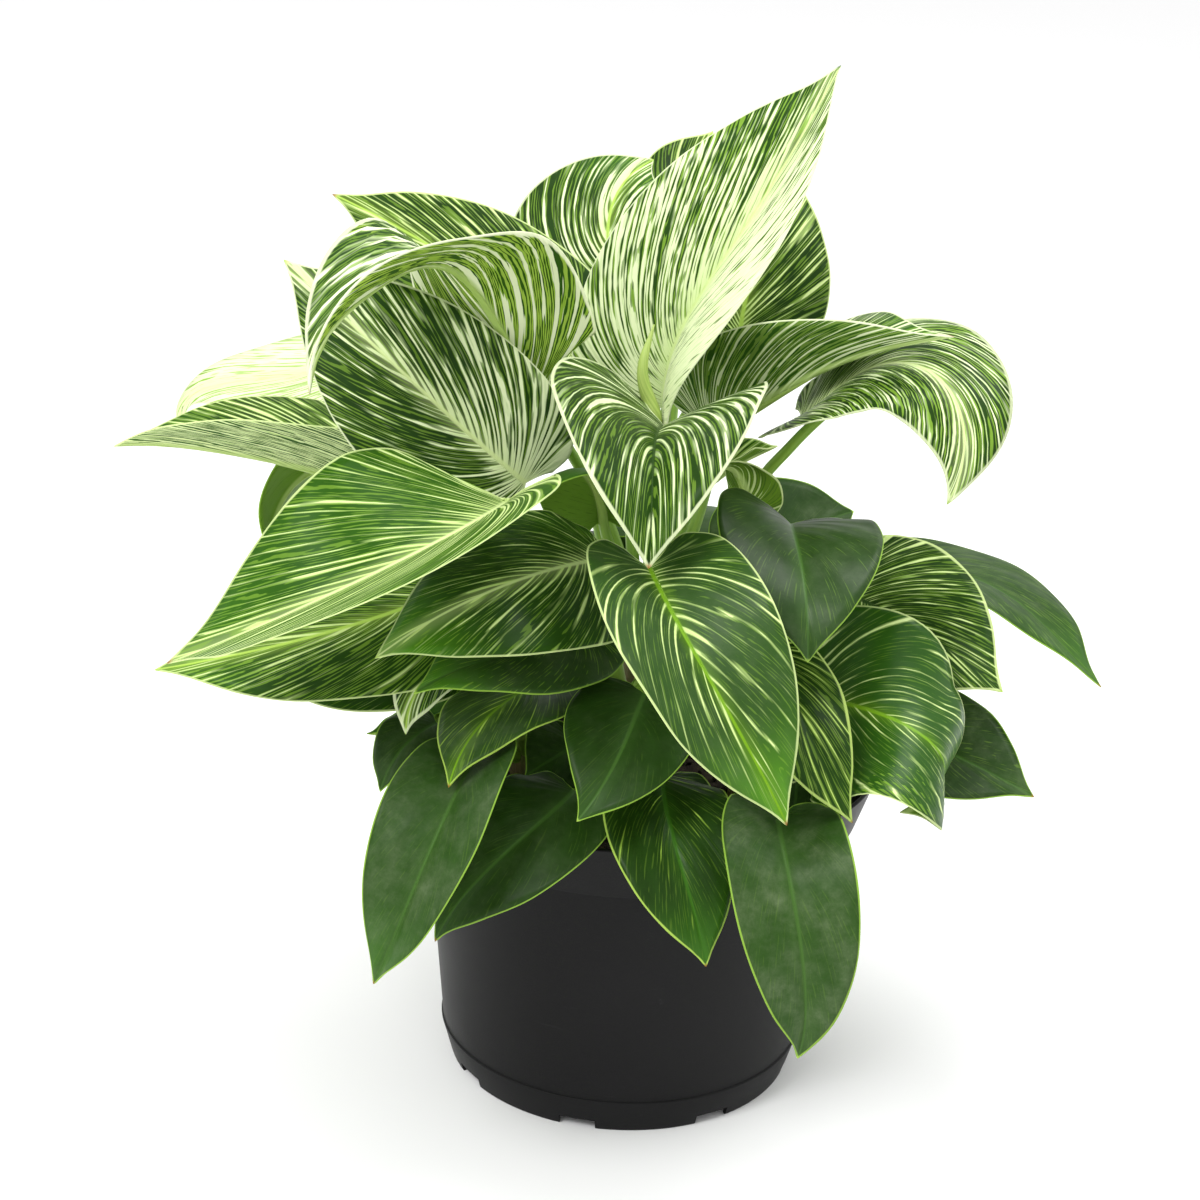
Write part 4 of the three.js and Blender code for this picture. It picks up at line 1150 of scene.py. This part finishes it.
def pot_material():
    g = Graph("pot")
    place = g.place()
    cloud = g.spread(place, 14.0, 4.0, 0.6)
    stretch = g.tree.nodes.new("ShaderNodeMapping")
    stretch.inputs["Scale"].default_value = (60.0, 60.0, 900.0)
    g.put(stretch.inputs["Vector"], place)
    scuff = g.ramp(g.noise(stretch.outputs[0], 1.0, 4.0, 0.7), 0.62, 0.8)
    # Pale spots of dust on the pot.
    grey_patches = g.ramp(g.noise(place, 160.0, 4.0, 0.75), 0.66, 0.82)
    color = g.mix(cloud, (0.006, 0.006, 0.0062), (0.0085, 0.0085, 0.0088))
    marks = g.math("MAXIMUM", g.mul(scuff, 0.6), grey_patches)
    color = g.mix(g.mul(marks, 0.35), color, (0.035, 0.035, 0.036))
    rough = g.add(g.ramp(cloud, 0.0, 1.0, 0.40, 0.50, smooth=False), g.mul(scuff, 0.12))
    grain = g.bump(g.noise(place, 1800.0, 2.0), 0.00008, 0.6)
    g.set(Base_Color=color, Roughness=rough, Normal=grain, Specular_IOR_Level=0.12)
    return g.material


def floor_material():
    g = Graph("floor")
    g.set(Base_Color=(0.93, 0.93, 0.93), Roughness=0.9)
    return g.material


for name, leaf in LEAVES.items():
    look = LOOKS.get(name, PLAIN)
    materials = [leaf_material(name, look), petiole_material()]
    leaf_shape(name, leaf).build("visual_" + name, materials, node=name, slot=look["slot"])

# ---------------------------------------------------------------- stems and new leaf

STEM_RINGS = 46
STEM_SIDES = 20
STEM_NODES = 9
NODE_HEIGHT = 0.25
STEM_END = [0.94, 0.8, 0.45]
SPIKE_RINGS = 60
SPIKE_SIDES = 16
# How thick the rolled leaf is, in millimetres, at shares of its length.
SPIKE_RADII = ([0, 0.55, 0.72, 0.9, 1], [2.2, 1.7, 2.7, 1.5, 0.25])


def stem_shape(stem):
    shape = Shape()
    low, high = stem_axis(stem, STEM_BOTTOM), stem_axis(stem, stem["top"][2])
    share = np.linspace(0, 1, STEM_RINGS)
    path = low + (high - low) * share[:, None]
    radii = np.interp(share, [0, 1], stem["radii"])
    ring = np.abs(np.sin(share * math.pi * STEM_NODES)) ** 8
    radii = radii - NODE_HEIGHT + NODE_HEIGHT * ring
    radii[-len(STEM_END):] *= STEM_END
    tube(shape, path, radii, STEM_SIDES)
    return shape


for name, stem in STEMS.items():
    stem_shape(stem).build(
        "visual_stem_" + name, [stem_material()], node="stem_" + name, slot="stem"
    )

shape = Shape()
radii = np.interp(np.linspace(0, 1, SPIKE_RINGS), *SPIKE_RADII)
tube(shape, through_points(SPIKE, SPIKE_RINGS), radii, SPIKE_SIDES)
shape.build("visual_new_leaf_spike", [spike_material()], node="new_leaf_spike", slot="leaf_cream")

# ---------------------------------------------------------------- soil

SOIL_GAP = 0.7
SOIL_RADIUS = WALL_TOP_RADIUS - POT_WALL - SOIL_GAP
SOIL_RINGS = 44
SOIL_SIDES = 96
SOIL_FALL = 3.4
SOIL_SINK = 0.6
LUMP_SCALE = 0.12
LUMP_HEIGHT = 1.6
CRUMB_SEED = 7
CRUMBS = 420
CRUMB_REACH = 0.97
CRUMB_SIZES = (0.5, 1.9)
CRUMB_LIFT = 0.2
CRUMB_SIDES = 5
CRUMB_WAIST = 0.85
CRUMB_LEVELS = (-0.6, 0.6)
CRUMB_END = 1.1


def soil_level(share):
    """The soil's height, falling from the middle to the pot's wall."""
    return SOIL_TOP - SOIL_FALL * share**2


def add_ground(shape):
    points = [[0, 0, SOIL_TOP]]
    for ring in range(1, SOIL_RINGS + 1):
        radius = SOIL_RADIUS * ring / SOIL_RINGS
        for east, north in around(SOIL_SIDES, 0.5 * (ring % 2)):
            x, y = radius * east, radius * north
            lump = noise.fractal(Vector((x, y, 3)) * LUMP_SCALE, 0.7, 2.2, 5)
            points.append([x, y, soil_level(ring / SOIL_RINGS) + LUMP_HEIGHT * lump - SOIL_SINK])
    bottom = len(points)
    foot_radius = FOOT_RADIUS - POT_WALL - SOIL_GAP
    foot_level = FLOOR_UNDERSIDE + POT_WALL + 0.4
    for east, north in around(SOIL_SIDES, 0.5 * (SOIL_RINGS % 2)):
        points.append([foot_radius * east, foot_radius * north, foot_level])
    faces = [(0, 1 + side, 1 + (side + 1) % SOIL_SIDES) for side in range(SOIL_SIDES)]
    for ring in range(SOIL_RINGS):
        start = 1 + ring * SOIL_SIDES
        for side in range(SOIL_SIDES):
            a, b = start + side, start + (side + 1) % SOIL_SIDES
            faces.append((a, a + SOIL_SIDES, b + SOIL_SIDES, b))
    faces.append(tuple(range(bottom, bottom + SOIL_SIDES))[::-1])
    shape.add(points, faces)


def crumb_faces():
    n = CRUMB_SIDES
    ahead = [(side + 1) % n for side in range(n)]
    return [
        *[(side, ahead[side], n + ahead[side], n + side) for side in range(n)],
        *[(2 * n, ahead[side], side) for side in range(n)],
        *[(2 * n + 1, n + side, n + ahead[side]) for side in range(n)],
    ]


def crumb_points(rng):
    """An uneven clod, stretched, turned and set on the soil."""
    radius = SOIL_RADIUS * CRUMB_REACH * math.sqrt(rng.uniform())
    angle = rng.uniform(0, 2 * math.pi)
    size = rng.uniform(*CRUMB_SIZES)
    corners = 2 * CRUMB_SIDES + 2
    # These draws aren't used; they keep every later crumb's shape and place.
    rng.normal(size=(corners, 3))
    ball = []
    for level in CRUMB_LEVELS:
        for east, north in around(CRUMB_SIDES, 0.25 * level):
            ball.append([east * CRUMB_WAIST, north * CRUMB_WAIST, level])
    ball += [[0, 0, -CRUMB_END], [0, 0, CRUMB_END]]
    ball = np.array(ball) * (1 + rng.uniform(-0.25, 0.25, (corners, 1))) * size
    ball = ball * rng.uniform(0.6, 1.2, 3)
    turn = Matrix.Rotation(rng.uniform(0, 6.28), 3, Vector(rng.normal(size=3)))
    level = soil_level(radius / SOIL_RADIUS) + size * CRUMB_LIFT
    return ball @ np.array(turn) + [radius * math.cos(angle), radius * math.sin(angle), level]


rng = np.random.default_rng(CRUMB_SEED)
shape = Shape()
add_ground(shape)
for _ in range(CRUMBS):
    shape.add(crumb_points(rng), crumb_faces())
shape.build("visual_soil", [soil_material()], node="soil", slot="soil")

# ---------------------------------------------------------------- pot


def turned(name, profile, sides):
    """A closed solid of revolution around the pot's axis; the profile starts and ends on it."""
    mesh = bpy.data.meshes.new(name)
    points, faces = [], []
    inner = profile[1:-1]
    for east, north in around(sides):
        points += [[r * east, r * north, z] for r, z in inner]
    count = len(inner)
    first, last = len(points), len(points) + 1
    points += [[0, 0, profile[0][1]], [0, 0, profile[-1][1]]]
    for side in range(sides):
        a, b = side * count, (side + 1) % sides * count
        for row in range(count - 1):
            faces.append((a + row, b + row, b + row + 1, a + row + 1))
        faces.append((first, b, a))
        faces.append((last, a + count - 1, b + count - 1))
    mesh.from_pydata([list(np.array(p) * MM + AXIS) for p in points], [], faces)
    mesh.validate()
    return mesh


def arc(center, radius, start, end, steps):
    angles = np.radians(np.linspace(start, end, steps))
    return [(center[0] + radius * math.cos(a), center[1] + radius * math.sin(a)) for a in angles]


POT_SIDES = 160
DRAIN_SIDES = 24
DRAIN_DEPTH = 6
SHARP_ANGLE = 32

# The wall from the floor's underside over the foot, ring, band and rim to the inside. The small
# steps beside each named size round off the edges.
band_bottom = POT_HEIGHT - BAND_HEIGHT
inner_foot = FOOT_RADIUS - POT_WALL
lip = POT_WALL / 2
profile = [
    (0, FLOOR_UNDERSIDE), (20, FLOOR_UNDERSIDE), (40, FLOOR_UNDERSIDE),
    (inner_foot - 0.6, FLOOR_UNDERSIDE),
    (inner_foot, FLOOR_UNDERSIDE - 0.6), (inner_foot, 0.3), (inner_foot + 0.3, 0),
    (FOOT_RADIUS - 0.5, 0), (FOOT_RADIUS - 0.1, 0.35), (FOOT_RADIUS + 0.1, 0.9),
    (RING_RADIUS - 0.1, RING_HEIGHT - 0.6), (RING_RADIUS - 0.1, RING_HEIGHT - 0.2),
    (RING_RADIUS - 0.3, RING_HEIGHT), (RING_RADIUS - RING_STEP, RING_HEIGHT + 0.15),
    (WALL_TOP_RADIUS - 0.4, band_bottom - 3.5), (WALL_TOP_RADIUS, band_bottom - 0.4),
    (WALL_TOP_RADIUS + 0.4, band_bottom), (BAND_RADIUS - 0.9, band_bottom),
    (BAND_RADIUS - 0.2, band_bottom + 0.3), (BAND_RADIUS + 0.1, band_bottom + 1.0),
    (RIM_RADIUS - 0.5, POT_HEIGHT - 1.8),
    *arc((RIM_RADIUS - lip, POT_HEIGHT - lip), lip, 0, 180, 7),
    (BAND_RADIUS - POT_WALL + 0.3, band_bottom + POT_WALL + 1),
    (BAND_RADIUS - POT_WALL - 0.6, band_bottom + POT_WALL),
    (WALL_TOP_RADIUS - POT_WALL, band_bottom + POT_WALL),
    (inner_foot, FLOOR_UNDERSIDE + POT_WALL), (0, FLOOR_UNDERSIDE + POT_WALL),
]
pot_mesh = turned("visual_pot", profile, POT_SIDES)
pot = link("visual_pot", pot_mesh)

cutter_mesh = bpy.data.meshes.new("cutter")
cutter = bmesh.new()
for index in range(NOTCH_COUNT):
    turn = math.radians(NOTCH_TURN + index * 360 / NOTCH_COUNT)
    block = bmesh.ops.create_cube(cutter, size=1)["verts"]
    size = Matrix.Diagonal((FOOT_RADIUS / 2 * MM, NOTCH_WIDTH * MM, 2 * NOTCH_HEIGHT * MM, 1))
    bmesh.ops.transform(
        cutter, verts=block,
        matrix=Matrix.Translation(AXIS) @ Matrix.Rotation(turn, 4, "Z")
        @ Matrix.Translation((FOOT_RADIUS * MM, 0, 0)) @ size,
    )
    turn += math.pi / NOTCH_COUNT
    hole = bmesh.ops.create_cone(
        cutter, segments=DRAIN_SIDES, radius1=DRAIN_RADIUS * MM, radius2=DRAIN_RADIUS * MM,
        depth=DRAIN_DEPTH * MM, cap_ends=True,
    )["verts"]
    center = (
        DRAIN_CIRCLE * math.cos(turn) * MM, DRAIN_CIRCLE * math.sin(turn) * MM, FLOOR_UNDERSIDE * MM
    )
    bmesh.ops.translate(cutter, verts=hole, vec=Vector(center) + Vector(AXIS))
cutter.to_mesh(cutter_mesh)
cutter.free()
cutter = link("cutter", cutter_mesh)
boolean = pot.modifiers.new("notches", "BOOLEAN")
boolean.operation = "DIFFERENCE"
boolean.object = cutter
boolean.solver = "EXACT"
bpy.context.view_layer.update()
cut = bpy.data.meshes.new_from_object(pot.evaluated_get(bpy.context.evaluated_depsgraph_get()))
pot.modifiers.clear()
pot.data = cut
bpy.data.objects.remove(cutter)
cut.polygons.foreach_set("use_smooth", [True] * len(cut.polygons))
cut.set_sharp_from_angle(angle=math.radians(SHARP_ANGLE))
cut.materials.clear()
cut.materials.append(pot_material())
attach(pot, "root")
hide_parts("pot")

# ---------------------------------------------------------------- floor, light and camera

FLOOR_SIZE = 8
LIGHT_TARGET = Vector((0, 0, 0.2))
LIGHTS = {
    "key": dict(place=(-0.9, -1.1, 1.5), size=0.7, power=22),
    "top": dict(place=(0.5, 0.1, 1.6), size=0.9, power=14),
}
CAMERA_PLACE = Vector((0.0, -0.8, 0.472))
CAMERA_FORWARD = Vector((-0.015897, 0.935055, -0.354145)).normalized()
CAMERA_UP = Vector((-0.049994, 0.353004, 0.934285))
SENSOR_WIDTH = 36
LENS = 75.93
CLIP_START = 0.05

bpy.ops.mesh.primitive_plane_add(size=FLOOR_SIZE, location=(0, 0, 0))
floor = bpy.context.object
floor.name = "floor"
floor.data.materials.append(floor_material())

world = bpy.data.worlds.new("studio")
bpy.context.scene.world = world
world.use_nodes = True
sky = world.node_tree.nodes["Background"]
sky.inputs["Color"].default_value = (1, 1, 1, 1)
sky.inputs["Strength"].default_value = 1.0

for name, light in LIGHTS.items():
    data = bpy.data.lights.new(name, "AREA")
    data.shape = "SQUARE"
    data.size = light["size"]
    data.energy = light["power"]
    lamp = link(name, data)
    lamp.location = light["place"]
    aim = LIGHT_TARGET - Vector(light["place"])
    lamp.rotation_euler = aim.to_track_quat("-Z", "Y").to_euler()

camera_data = bpy.data.cameras.new("camera")
camera_data.sensor_width = SENSOR_WIDTH
camera_data.lens = LENS
camera_data.clip_start = CLIP_START
camera = link("camera", camera_data)
right = CAMERA_FORWARD.cross(CAMERA_UP).normalized()
up = right.cross(CAMERA_FORWARD)
camera.matrix_world = Matrix.Translation(CAMERA_PLACE + Vector(AXIS)) @ Matrix(
    (right, up, -CAMERA_FORWARD)
).transposed().to_4x4()
bpy.context.scene.camera = camera
bpy.context.scene.view_settings.view_transform = "Standard"
